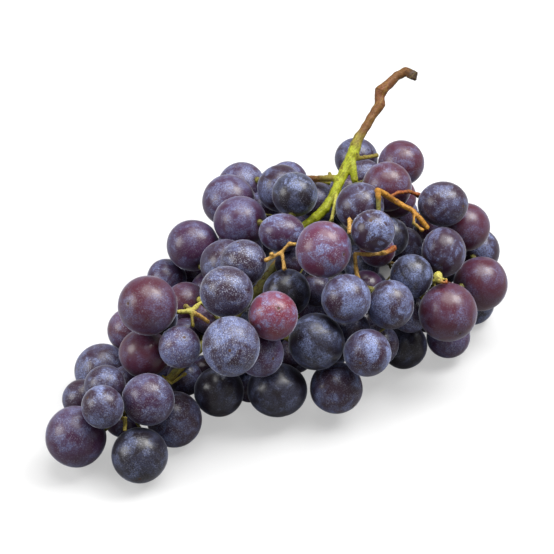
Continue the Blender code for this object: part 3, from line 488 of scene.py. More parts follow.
@dataclass(frozen=True)
class GrapeSkin:
    """The finish of a berry: a dark thin skin under a pale bluish film of wax, rubbed off in places.

    Attributes:
        wax_colour: the film where it is thick.
        frost_colour: the pale speckle in it.
        scar_colour: the dry dot at the end away from the stalk.
        speck_colour: the small dark specks.
        ring_colour: the dark ring round the scar.
        socket_colour: the skin where the stalk goes in.
        bare_roughness: the skin where the film is off.
        wax_roughness: the film.
        sheen: how pale the film makes the rims.
        sheen_spread: how wide those rims are.
        sheen_tint: their colour.
        polish: how strong the thin clear gloss on top is.
        polish_roughness: the roughness of that gloss.
        relief: how high the grain of the film stands, in metres.
    """

    wax_colour: Colour = (0.160, 0.198, 0.375, 1.0)
    frost_colour: Colour = (0.46, 0.48, 0.58, 1.0)
    scar_colour: Colour = (0.060, 0.030, 0.020, 1.0)
    speck_colour: Colour = (0.006, 0.004, 0.009, 1.0)
    ring_colour: Colour = (0.020, 0.012, 0.020, 1.0)
    socket_colour: Colour = (0.050, 0.030, 0.020, 1.0)
    bare_roughness: float = 0.30
    wax_roughness: float = 0.55
    sheen: float = 0.62
    sheen_spread: float = 0.24
    sheen_tint: Colour = (0.78, 0.83, 1.0, 1.0)
    polish: float = 0.08
    polish_roughness: float = 0.14
    relief: float = 0.00005

    def wax_cover(self, tree: Tree, place: Socket, mottle: bpy.types.Node) -> tuple[Socket, Socket]:
        """Work out where the film lies.

        Args:
            tree: the material's tree.
            place: the socket with the berry's own coordinates in mm.
            mottle: the mottle group's node.

        Returns:
            How thick the film is, and how strong the frost is.
        """
        bloom, rub, frost = split(tree, attribute(tree, "skin_wax", "Vector"))
        smears = noise(tree, place, 0.13, 2.0, 1.2)
        rubbed = number(tree, "MULTIPLY", ramp(tree, smears, 0.475, 0.535), rub)
        streaks = ramp(tree, noise(tree, place, 0.45, 3.0, 2.2), 0.52, 0.6)
        streaked = number(tree, "MULTIPLY", streaks, number(tree, "MULTIPLY", rub, 0.6))
        rubbed = number(tree, "MAXIMUM", rubbed, streaked)
        uneven = number(tree, "MULTIPLY_ADD", mottle.outputs["Patch"], 1.35, 0.02)
        grainy = number(tree, "MULTIPLY_ADD", mottle.outputs["Grain"], 1.25, 0.22)
        film = number(tree, "MULTIPLY", bloom, number(tree, "MULTIPLY", uneven, grainy))
        film = number(tree, "MULTIPLY", film, number(tree, "SUBTRACT", 1.0, rubbed))
        speckle = ramp(tree, noise(tree, place, 2.1, 5.0, 0.4), 0.52, 0.66)
        speckle = number(tree, "MULTIPLY", speckle, number(tree, "SUBTRACT", 1.0, rubbed))
        return film, number(tree, "MULTIPLY", speckle, frost)

    def build(self) -> bpy.types.Material:
        """Build the skin's material.

        Returns:
            The material, which reads the piece's skin_tone, skin_wax, skin_place and skin_poles.
        """
        made, tree, shader = new_material("grape_skin")
        place = attribute(tree, "skin_place", "Vector")
        mottle = add_mottle(tree, place)
        film, frost = self.wax_cover(tree, place, mottle)
        skin = attribute(tree, "skin_tone", "Color")
        dark = number(tree, "MULTIPLY", mottle.outputs["Speck"], 0.6)
        colour = blend(tree, film, skin, self.wax_colour)
        colour = blend(tree, number(tree, "MULTIPLY", frost, 0.6), colour, self.frost_colour)
        colour = blend(tree, dark, colour, self.speck_colour)
        from_stalk, from_scar, _ = split(tree, attribute(tree, "skin_poles", "Vector"))
        scar = ramp(tree, from_scar, 0.8, 0.45)
        ring = number(tree, "MULTIPLY", ramp(tree, from_scar, 1.9, 1.4), ramp(tree, from_scar, 0.8, 1.2))
        colour = blend(tree, number(tree, "MULTIPLY", ring, 0.35), colour, self.ring_colour)
        colour = blend(tree, scar, colour, self.scar_colour)
        socket = ramp(tree, from_stalk, 3.0, 1.6)
        colour = blend(tree, number(tree, "MULTIPLY", socket, 0.5), colour, self.socket_colour)
        tree.links.new(colour, shader.inputs["Base Color"])
        rise = self.wax_roughness - self.bare_roughness + 0.2
        rough = number(tree, "MULTIPLY_ADD", film, rise, self.bare_roughness)
        rough = number(tree, "MAXIMUM", rough, number(tree, "MULTIPLY", scar, 0.8))
        rough = number(tree, "ADD", rough, number(tree, "MULTIPLY", frost, 0.15))
        rough = number(tree, "MINIMUM", rough, 0.85)
        tree.links.new(rough, shader.inputs["Roughness"])
        shader.inputs["IOR"].default_value = 1.42
        shader.inputs["Sheen Weight"].default_value = self.sheen
        shader.inputs["Sheen Roughness"].default_value = self.sheen_spread
        shader.inputs["Sheen Tint"].default_value = self.sheen_tint
        shader.inputs["Coat Weight"].default_value = self.polish
        shader.inputs["Coat Roughness"].default_value = self.polish_roughness
        grain = number(tree, "ADD", number(tree, "MULTIPLY", mottle.outputs["Grain"], 0.5), frost)
        height = number(tree, "SUBTRACT", grain, number(tree, "MULTIPLY", mottle.outputs["Speck"], 0.8))
        add_bump(tree, shader, height, self.relief, 0.5)
        return made


class Bark(Enum):
    """The colours along the stem, one of them a dark green of painted shade."""

    CUT_END = (0.030, 0.014, 0.007)
    WOOD = (0.140, 0.056, 0.014)
    RED_WOOD = (0.135, 0.040, 0.010)
    LIME = (0.270, 0.300, 0.008)
    OLIVE = (0.190, 0.150, 0.020)
    GOLD = (0.400, 0.180, 0.020)
    BEIGE = (0.440, 0.250, 0.060)
    RUST = (0.260, 0.062, 0.012)
    PALE_GREEN = (0.420, 0.380, 0.080)
    # painted shade: the dark green that the stem takes at the edges of each stretch and where no stretch is
    # near
    PAINTED_SHADE_GREEN = (0.130, 0.120, 0.025)


@dataclass(frozen=True)
class BarkZone:
    """A stretch of the stem that has one colour.

    Attributes:
        name: which stretch it is.
        bark: its colour.
        reach: how far from its line it counts, in pixels.
        line: its line in the picture, as pixels across and down.
    """

    name: str
    bark: Bark
    reach: float
    line: tuple[tuple[float, float], ...]


# Where a stub or a twig ends in a small swelling, in the picture
STUB_ENDS = (
    (265.5, 260.3),
    (284.4, 269.6),
    (271.0, 253.6),
    (290.0, 243.8),
    (394.5, 247.5),
    (377.2, 155.3),
    (354.8, 180.0),
    (350.0, 233.0),
    (427.2, 228.2),
    (422.7, 230.5),
    (418.0, 195.0),
    (208.4, 322.2),
    (185.5, 305.6),
)

BARK_ZONES = (
    BarkZone(
        "lower main stem", Bark.LIME, 9.0, ((354, 150), (345, 170), (336, 190), (326, 208), (306, 226))
    ),
    BarkZone("knuckle under the wood", Bark.OLIVE, 7.0, ((360, 136), (356.5, 143))),
    BarkZone("woody stalk", Bark.WOOD, 8.0, ((363, 131), (373, 115), (380, 105))),
    BarkZone("woody knuckle", Bark.RED_WOOD, 7.0, ((380, 104), (380, 91), (389, 84))),
    BarkZone("woody hook", Bark.WOOD, 7.0, ((389, 84), (397, 76), (406, 71.5))),
    BarkZone("cut end", Bark.CUT_END, 7.5, ((411.5, 73.5), (417, 78))),
    BarkZone("left lateral", Bark.OLIVE, 5.0, ((331, 178), (322, 179))),
    BarkZone("left lateral's end", Bark.WOOD, 5.0, ((318, 179), (308, 178))),
    BarkZone("green stub", Bark.LIME, 4.0, ((352, 166), (354, 180))),
    BarkZone("right stub", Bark.OLIVE, 4.0, ((358, 158), (378, 155))),
    BarkZone("right lateral", Bark.GOLD, 5.5, ((376, 190), (402, 205), (414, 211), (428, 229))),
    BarkZone("right lateral's fork", Bark.RUST, 3.5, ((392, 196), (400, 192), (418, 195))),
    BarkZone("crown stalk", Bark.BEIGE, 5.0, ((350, 216), (350, 236))),
    BarkZone("stalk by the stem", Bark.PALE_GREEN, 4.0, ((336, 197), (332, 221))),
    BarkZone("crown lateral", Bark.BEIGE, 5.0, ((386, 253), (369, 254.5), (355, 254), (357, 275))),
    BarkZone("crown knuckle", Bark.RUST, 5.0, ((389, 251), (395, 247))),
    BarkZone("middle fork", Bark.BEIGE, 5.0, ((290, 243), (281, 252), (265, 261))),
    BarkZone("middle fork's stalk", Bark.BEIGE, 4.5, ((282.5, 252), (285, 270))),
    BarkZone("left fork", Bark.PALE_GREEN, 6.0, ((201, 302), (191, 311), (177, 312))),
    BarkZone("left fork's stalk", Bark.BEIGE, 5.0, ((195, 313), (209, 322))),
    BarkZone("left fork's thin stalk", Bark.OLIVE, 4.0, ((192, 315), (193, 327))),
    BarkZone("tip stalk", Bark.OLIVE, 5.0, ((125, 415), (124, 431))),
    BarkZone("low stalk", Bark.OLIVE, 5.0, ((163, 375), (172, 384), (186, 373))),
    BarkZone("berry that never grew", Bark.PALE_GREEN, 7.0, ((437.5, 272), (438.5, 279))),
    BarkZone("its stalk", Bark.RUST, 3.5, ((441, 282), (447, 283))),
)


@dataclass(frozen=True)
class StemBark:
    """The finish of the stem: green and golden, going to brown wood with dark scars towards the cut.

    Attributes:
        scar_colour: the dark scars and cracks.
        pale_colour: the worn ridges.
        roughness: the whole stem.
        lie: the direction that the main stem runs in.
        fibre_length: how much the pattern is drawn out along it, less being longer.
        relief: how high its grain stands, in metres.
    """

    scar_colour: Colour = (0.075, 0.026, 0.010, 1.0)
    pale_colour: Colour = (0.60, 0.50, 0.06, 1.0)
    roughness: float = 0.5
    lie: tuple[float, float, float] = (-0.66, -0.55, -0.49)
    fibre_length: float = 0.2
    relief: float = 0.00012

    def along_fibres(self, tree: Tree, place: Socket) -> Socket:
        """Turn and stretch coordinates so that a pattern runs along the main stem.

        Args:
            tree: the material's tree.
            place: the socket with coordinates in mm.

        Returns:
            The stretched coordinates.
        """
        turn = tree.nodes.new("ShaderNodeMapping")
        upright = Vector(self.lie).rotation_difference(Vector((0, 0, 1)))
        turn.inputs["Rotation"].default_value = upright.to_euler()
        tree.links.new(place, turn.inputs["Vector"])
        stretch = tree.nodes.new("ShaderNodeMapping")
        stretch.inputs["Scale"].default_value = (1.0, 1.0, self.fibre_length)
        tree.links.new(turn.outputs["Vector"], stretch.inputs["Vector"])
        return stretch.outputs["Vector"]

    def build(self) -> bpy.types.Material:
        """Build the stem's material.

        Returns:
            The material, which reads the piece's bark_tone.
        """
        made, tree, shader = new_material("stem_bark")
        texture = tree.nodes.new("ShaderNodeTexCoord")
        scaled = tree.nodes.new("ShaderNodeMapping")
        scaled.inputs["Scale"].default_value = (1 / MM, 1 / MM, 1 / MM)
        tree.links.new(texture.outputs["Object"], scaled.inputs["Vector"])
        place = scaled.outputs["Vector"]
        mottle = add_mottle(tree, place)
        tone = attribute(tree, "bark_tone", "Color")
        along = self.along_fibres(tree, place)
        ridges = ramp(tree, noise(tree, along, 0.95, 3.0, 0.4), 0.5, 0.68)
        colour = blend(tree, number(tree, "MULTIPLY", ridges, 0.12), tone, self.pale_colour)
        cracks = ramp(tree, noise(tree, along, 1.3, 4.0, 0.6), 0.47, 0.36)
        scars = ramp(tree, noise(tree, place, 0.42, 4.0, 0.5), 0.6, 0.68)
        scars = number(tree, "MAXIMUM", scars, number(tree, "MULTIPLY", mottle.outputs["Speck"], 0.8))
        scars = number(tree, "MAXIMUM", scars, number(tree, "MULTIPLY", cracks, 0.6))
        colour = blend(tree, number(tree, "MULTIPLY", scars, 0.72), colour, self.scar_colour)
        shade = number(tree, "MULTIPLY_ADD", mottle.outputs["Grain"], 0.4, 0.72)
        hue = tree.nodes.new("ShaderNodeHueSaturation")
        tree.links.new(shade, hue.inputs["Value"])
        tree.links.new(colour, hue.inputs["Color"])
        tree.links.new(hue.outputs["Color"], shader.inputs["Base Color"])
        shader.inputs["Specular IOR Level"].default_value = 0.3
        rough = number(tree, "MULTIPLY_ADD", scars, 0.2, self.roughness)
        tree.links.new(rough, shader.inputs["Roughness"])
        height = number(tree, "SUBTRACT", mottle.outputs["Grain"], number(tree, "MULTIPLY", scars, 0.9))
        add_bump(tree, shader, height, self.relief, 0.7)
        return made


# Reading the faceted solids


@dataclass
class Berry:
    """One berry read from the frame. Lengths are in mm.

    Attributes:
        centre: its middle.
        halves: half its width, depth and height as the camera sees it.
        stalk: the direction from its middle to its stalk, or None where no stalk was found.
    """

    centre: np.ndarray
    halves: np.ndarray
    stalk: np.ndarray | None = None

    @property
    def radius(self) -> float:
        """The berry's mean radius."""
        return float(self.halves.mean())

    def stretch(self) -> np.ndarray:
        """The stretch of a unit ball into the berry."""
        axes = VIEW.axes
        return axes @ np.diag(self.halves) @ axes.T

    def reach(self, direction: np.ndarray) -> float:
        """How far the berry reaches from its middle in a direction."""
        return float(np.linalg.norm(self.stretch() @ direction))


def merged_copy(node: bpy.types.Object) -> bmesh.types.BMesh:
    """Copy a node's loose triangles into a mesh with shared corners.

    Args:
        node: the node, which is left alone.

    Returns:
        The copy, in mm.
    """
    shape = bmesh.new()
    shape.from_mesh(node.data)
    bmesh.ops.remove_doubles(shape, verts=shape.verts, dist=1e-6)
    bmesh.ops.scale(shape, vec=Vector((1 / MM, 1 / MM, 1 / MM)), verts=shape.verts)
    shape.normal_update()
    return shape


@dataclass(frozen=True)
class BerryReader:
    """Finds the single berries in a spray's faceted solid.

    Attributes:
        crease: the inward fold between a berry and a joint, in degrees.
        least_skin: the smallest area of a berry's skin, in square mm.
        swell: how far the corners of a faceted berry stand out from the round one.
        stalk_gap: from a faceted berry to the end of its stalk, in mm.
        stalk_slack: how far a stalk's end may be from where it should be, in mm.
        least_facing: how straight it must face the berry's middle, as a cosine.
        ball_slacks: in each round of the fit of a ball, how far in a corner may lie and still count.
        long_slacks: the same for the fit of a longish berry.
        least_corners: the fewest corners that fix a longish berry.
        roundness: how strongly a longish berry is drawn to a ball.
        most_stretch: how far a half width may be from the ball's radius, as a share.
    """

    crease: float = 25.0
    least_skin: float = 100.0
    swell: float = 1.025
    stalk_gap: float = 0.32
    stalk_slack: float = 0.5
    least_facing: float = 0.98
    ball_slacks: tuple[float, ...] = (2.0, 1.4, 1.0, 0.8, 0.6, 0.5, 0.45, 0.45)
    long_slacks: tuple[float, ...] = (0.6, 0.4, 0.3, 0.25, 0.2)
    least_corners: int = 14
    roundness: float = 40.0
    most_stretch: float = 0.22

    def patches(self, shape: bmesh.types.BMesh) -> list[list[bmesh.types.BMFace]]:
        """Part a spray's faces along its inward folds.

        Args:
            shape: the spray.

        Returns:
            The faces of each patch that is large enough to be a berry.
        """
        fold = -math.radians(self.crease)
        seen: set[bmesh.types.BMFace] = set()
        found = []
        for first in shape.faces:
            if first in seen:
                continue
            seen.add(first)
            patch = [first]
            for face in patch:
                for edge in face.edges:
                    if len(edge.link_faces) != 2 or edge.calc_face_angle_signed(0.0) < fold:
                        continue
                    for other in edge.link_faces:
                        if other not in seen:
                            seen.add(other)
                            patch.append(other)
            if sum(face.calc_area() for face in patch) > self.least_skin:
                found.append(patch)
        return found

    def fit(self, points: np.ndarray) -> Berry:
        """Fit a berry to the corners of its skin, of which pressed ones lie too far in.

        Args:
            points: the corners, in mm.

        Returns:
            The berry.
        """
        axes = VIEW.axes
        local = points @ axes
        middle = local.mean(0)
        local = local - middle
        keep = np.ones(len(local), bool)
        centre, radius = np.zeros(3), 10.0
        for slack in self.ball_slacks:
            rows = np.column_stack([2 * local[keep], np.ones(keep.sum())])
            answer = np.linalg.lstsq(rows, (local[keep] ** 2).sum(1), rcond=None)[0]
            centre = answer[:3]
            radius = math.sqrt(max(answer[3] + centre @ centre, 1.0))
            off = np.linalg.norm(local - centre, axis=1) - radius
            keep = off > -slack
        halves = np.full(3, radius)
        for slack in self.long_slacks:
            if keep.sum() < self.least_corners:
                break
            off = local - centre
            rows = np.column_stack([off[keep] ** 2, off[keep]])
            pull = np.hstack([np.eye(3) * self.roundness, np.zeros((3, 3))])
            rows = np.vstack([rows, pull])
            goal = np.concatenate([np.ones(keep.sum()), np.full(3, self.roundness / radius**2)])
            answer = np.linalg.lstsq(rows, goal, rcond=None)[0]
            shift = -answer[3:] / (2 * answer[:3])
            scale = 1 + (answer[:3] * shift**2).sum()
            least, most = 1 - self.most_stretch, 1 + self.most_stretch
            halves = np.clip(np.sqrt(scale / answer[:3]), radius * least, radius * most)
            centre = centre + shift
            level = np.linalg.norm((local - centre) / halves, axis=1)
            keep = (level - 1) * radius > -slack
        return Berry((centre + middle) @ axes.T, halves / self.swell)

    def read(self, node: bpy.types.Object) -> list[Berry]:
        """Read a spray.

        Args:
            node: the spray's node.

        Returns:
            Its berries.
        """
        shape = merged_copy(node)
        berries = []
        for patch in self.patches(shape):
            corners = {corner for face in patch for corner in face.verts}
            points = np.array([corner.co for corner in sorted(corners, key=lambda c: c.index)])
            berries.append(self.fit(points))
        shape.free()
        return berries

    def find_stalks(self, berries: list[Berry], stem: bpy.types.Object) -> None:
        """Find the side that each berry's stalk comes to: the stalk's flat end faces the berry's middle.

        Args:
            berries: all berries. Those whose stalk is found get its direction.
            stem: the stem's node.
        """
        shape = merged_copy(stem)
        middles = np.array([face.calc_center_median() for face in shape.faces])
        normals = np.array([face.normal for face in shape.faces])
        shape.free()
        for berry in berries:
            off = berry.centre - middles
            apart = np.linalg.norm(off, axis=1)
            facing = (off * normals).sum(1) / apart
            gap = np.abs(apart - berry.halves.max() * self.swell - self.stalk_gap)
            fault = gap / self.stalk_slack + (1 - facing) / (1 - self.least_facing)
            best = int(fault.argmin())
            if gap[best] < self.stalk_slack and facing[best] > self.least_facing:
                berry.stalk = -off[best] / apart[best]


# The berries


@dataclass(frozen=True)
class BerryForm:
    """The form that all berries start from: a ball with a dimple at the stalk and a small scar opposite.

    Attributes:
        sides: faces round the berry.
        dimple: how deep the stalk's dimple is, as a share of the radius.
        dimple_width: how wide it is, in radians from the stalk.
        scar: how deep the scar is, as a share of the radius.
        scar_width: how wide it is, in radians.
    """

    sides: int = 40
    dimple: float = 0.045
    dimple_width: float = 0.24
    scar: float = 0.014
    scar_width: float = 0.075

    def angles(self) -> np.ndarray:
        """Choose the rings of corners, closer at both ends.

        Returns:
            Each ring's angle from the stalk.
        """
        ends = np.array([0.0, 0.045, 0.08, 0.12, 0.17, 0.24, 0.33])
        middle = np.linspace(0.45, math.pi - 0.45, 17)
        return np.concatenate([ends, middle, math.pi - ends[::-1]])

    def mesh(self) -> bpy.types.Mesh:
        """Spin the berry's profile into a closed unit ball, its stalk's end up.

        Returns:
            The mesh.
        """
        shape = bmesh.new()
        previous = None
        for angle in self.angles():
            radius = 1 - self.dimple * math.exp(-((angle / self.dimple_width) ** 2))
            radius -= self.scar * math.exp(-(((math.pi - angle) / self.scar_width) ** 2))
            across = 0.0 if angle in (0.0, math.pi) else radius * math.sin(angle)
            corner = shape.verts.new((across, 0.0, radius * math.cos(angle)))
            if previous:
                shape.edges.new((previous, corner))
            previous = corner
        bmesh.ops.spin(
            shape,
            geom=shape.verts[:] + shape.edges[:],
            axis=(0, 0, 1),
            cent=(0, 0, 0),
            angle=2 * math.pi,
            steps=self.sides,
            use_merge=True,
        )
        bmesh.ops.remove_doubles(shape, verts=shape.verts, dist=1e-5)
        bmesh.ops.recalc_face_normals(shape, faces=shape.faces)
        for face in shape.faces:
            face.smooth = True
        made = bpy.data.meshes.new("berry form")
        shape.to_mesh(made)
        shape.free()
        return made


@dataclass
class GrapeSpray:
    """One spray of berries that press on each other.

    Attributes:
        node: the node that the piece stands for.
        berries: its own berries.
        everyone: all berries of the bunch, which press on these.
        gap: the space left between two pressed skins, in mm.
        softness: how softly a pressed flat runs out, in mm.
        unevenness: how far a berry strays from an even shape, as a share of its radius.
        lean: where unseen stalks tend to point.
        common: the tones of berries that weren't noted.
        shares: how common each of them is.
        seed: the start of its random draws.
    """

    node: str
    berries: list[Berry]
    everyone: list[Berry]
    gap: float = 0.12
    softness: float = 0.14
    unevenness: float = 0.012
    lean: tuple[float, float, float] = (0.0, 0.3, -0.2)
    common: tuple[Tone, ...] = (Tone.DARK_PURPLE, Tone.NEAR_BLACK, Tone.VIOLET, Tone.PLUM)
    shares: tuple[float, ...] = (0.45, 0.2, 0.25, 0.1)
    seed: int = 5

    def turned(self, berry: Berry, draw: np.random.Generator) -> np.ndarray:
        """Work out a berry's turn: its stalk's end points the right way, with a random spin about it.

        Args:
            berry: the berry.
            draw: the source of random numbers.

        Returns:
            The turn, as a matrix.
        """
        stalk = berry.stalk
        if stalk is None:
            stalk = draw.normal(size=3) + np.array(self.lean)
            stalk = stalk / np.linalg.norm(stalk)
        spin = draw.uniform(0, 2 * math.pi)
        side = np.cross(stalk, [math.cos(spin), math.sin(spin), 0.3])
        side = side / np.linalg.norm(side)
        return np.stack([side, np.cross(stalk, side), stalk], 1)

    def uneven(self, unit: np.ndarray, draw: np.random.Generator) -> np.ndarray:
        """Swell and dent a unit berry by a few broad waves.

        Args:
            unit: the unit berry's corners.
            draw: the source of random numbers.

        Returns:
            The moved corners.
        """
        swell = np.zeros(len(unit))
        for _ in range(5):
            along = draw.normal(size=3) * 1.7
            swell += np.sin(unit @ along + draw.uniform(0, 2 * math.pi))
        return unit * (1 + self.unevenness * swell / 2)[:, None]

    def soft_limit(self, beyond: np.ndarray) -> np.ndarray:
        """How far corners go back so that none lies beyond a flat, with a soft run-out."""
        return self.softness * np.logaddexp(0, beyond / self.softness)

    def pressed(self, berry: Berry, points: np.ndarray) -> np.ndarray:
        """Press a berry flat where its neighbours and the table push it.

        Args:
            berry: the berry.
            points: its corners, in mm.

        Returns:
            The pressed corners, inside the box of the solids.
        """
        for other in self.everyone:
            between = other.centre - berry.centre
            length = float(np.linalg.norm(between))
            if other is berry or length > berry.radius + other.radius + 3.0:
                continue
            between = between / length
            middle = (length + berry.reach(between) - other.reach(between)) / 2 - self.gap / 2
            back = self.soft_limit((points - berry.centre) @ between - middle)
            points = points - back[:, None] * between
        if berry.centre[2] < berry.radius + 1.0:
            points[:, 2] += self.soft_limit(-points[:, 2])
        return np.clip(points, np.array(CAD_BOX[0]) / MM, np.array(CAD_BOX[1]) / MM)

    def look_of(self, berry: Berry, draw: np.random.Generator) -> tuple[Tone, Wax]:
        """Choose a berry's skin: the noted one where it shows, and else one of the common ones.

        Args:
            berry: the berry.
            draw: the source of random numbers.

        Returns:
            Its tone and its bloom.
        """
        for noted in NOTED_BERRIES:
            spot = (noted.across, noted.down)
            if math.dist(picture_of(berry), spot) < NOTED_REACH:
                rivals = [
                    other for other in self.everyone if math.dist(picture_of(other), spot) < NOTED_REACH
                ]
                if min(rivals, key=depth_of) is berry:
                    return noted.tone, noted.wax
        tone = self.common[int(draw.choice(len(self.common), p=self.shares))]
        wax = Wax(draw.uniform(0.3, 0.55), draw.uniform(0.35, 0.8), draw.uniform(0.15, 0.5))
        return tone, wax

    def build(self, form: bpy.types.Mesh, skin: bpy.types.Material) -> bpy.types.Object:
        """Build the spray.

        Args:
            form: the unit berry.
            skin: the skin's material.

        Returns:
            The finished piece.
        """
        draw = np.random.default_rng(self.seed + sum(map(ord, self.node)))
        shape = bmesh.new()
        for _ in self.berries:
            shape.from_mesh(form)
        mesh = bpy.data.meshes.new(self.node.replace("berries", "grapes"))
        shape.to_mesh(mesh)
        shape.free()
        unit = np.array([corner.co for corner in form.vertices])
        points, tones, waxes, places, poles = [], [], [], [], []
        for berry in self.berries:
            turned = self.turned(berry, draw)
            rough = self.uneven(unit, draw)
            points.append(self.pressed(berry, berry.centre + rough @ turned.T @ berry.stretch().T))
            tone, wax = self.look_of(berry, draw)
            shade = draw.uniform(0.85, 1.15)
            tones.append(np.tile((*(np.array(tone.value) * shade), 1.0), (len(unit), 1)))
            waxes.append(np.tile((wax.bloom, wax.rub, wax.frost), (len(unit), 1)))
            places.append(unit * berry.radius + draw.uniform(-400, 400, 3))
            angle = np.arccos(np.clip(unit[:, 2] / np.linalg.norm(unit, axis=1), -1, 1))
            poles.append(np.stack([angle, math.pi - angle, angle], 1) * berry.radius)
        mesh.vertices.foreach_set("co", (np.concatenate(points) * MM).ravel())
        add_attribute(mesh, "skin_tone", "FLOAT_COLOR", np.concatenate(tones))
        add_attribute(mesh, "skin_wax", "FLOAT_VECTOR", np.concatenate(waxes))
        add_attribute(mesh, "skin_place", "FLOAT_VECTOR", np.concatenate(places))
        add_attribute(mesh, "skin_poles", "FLOAT_VECTOR", np.concatenate(poles))
        mesh.materials.append(skin)
        mesh.update()
        return placed(mesh, self.node)


def picture_of(berry: Berry) -> tuple[float, float]:
    """A berry's middle in the picture, in pixels across and down."""
    across, down = VIEW.place(berry.centre[None])
    return float(across[0]), float(down[0])


def depth_of(berry: Berry) -> float:
    """How far a berry's middle lies from the camera, in mm."""
    return float((berry.centre - np.array(VIEW.eye)) @ VIEW.ahead)


def add_attribute(mesh: bpy.types.Mesh, name: str, kind: str, values: np.ndarray) -> None:
    """Store one colour or vector for each corner of a mesh.

    Args:
        mesh: the mesh.
        name: the attribute's name.
        kind: FLOAT_COLOR or FLOAT_VECTOR.
        values: a row for each corner.
    """
    layer = mesh.attributes.new(name, kind, "POINT")
    layer.data.foreach_set("color" if kind == "FLOAT_COLOR" else "vector", values.astype(np.float32).ravel())


def placed(mesh: bpy.types.Mesh, node: str) -> bpy.types.Object:
    """Put a finished mesh in the scene in place of a node.

    Args:
        mesh: the mesh, in place.
        node: the node that it stands for.

    Returns:
        The piece.
    """
    piece = bpy.data.objects.new(mesh.name, mesh)
    bpy.context.scene.collection.objects.link(piece)
    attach(piece, "root")
    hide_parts(node)
    return piece


# The stem


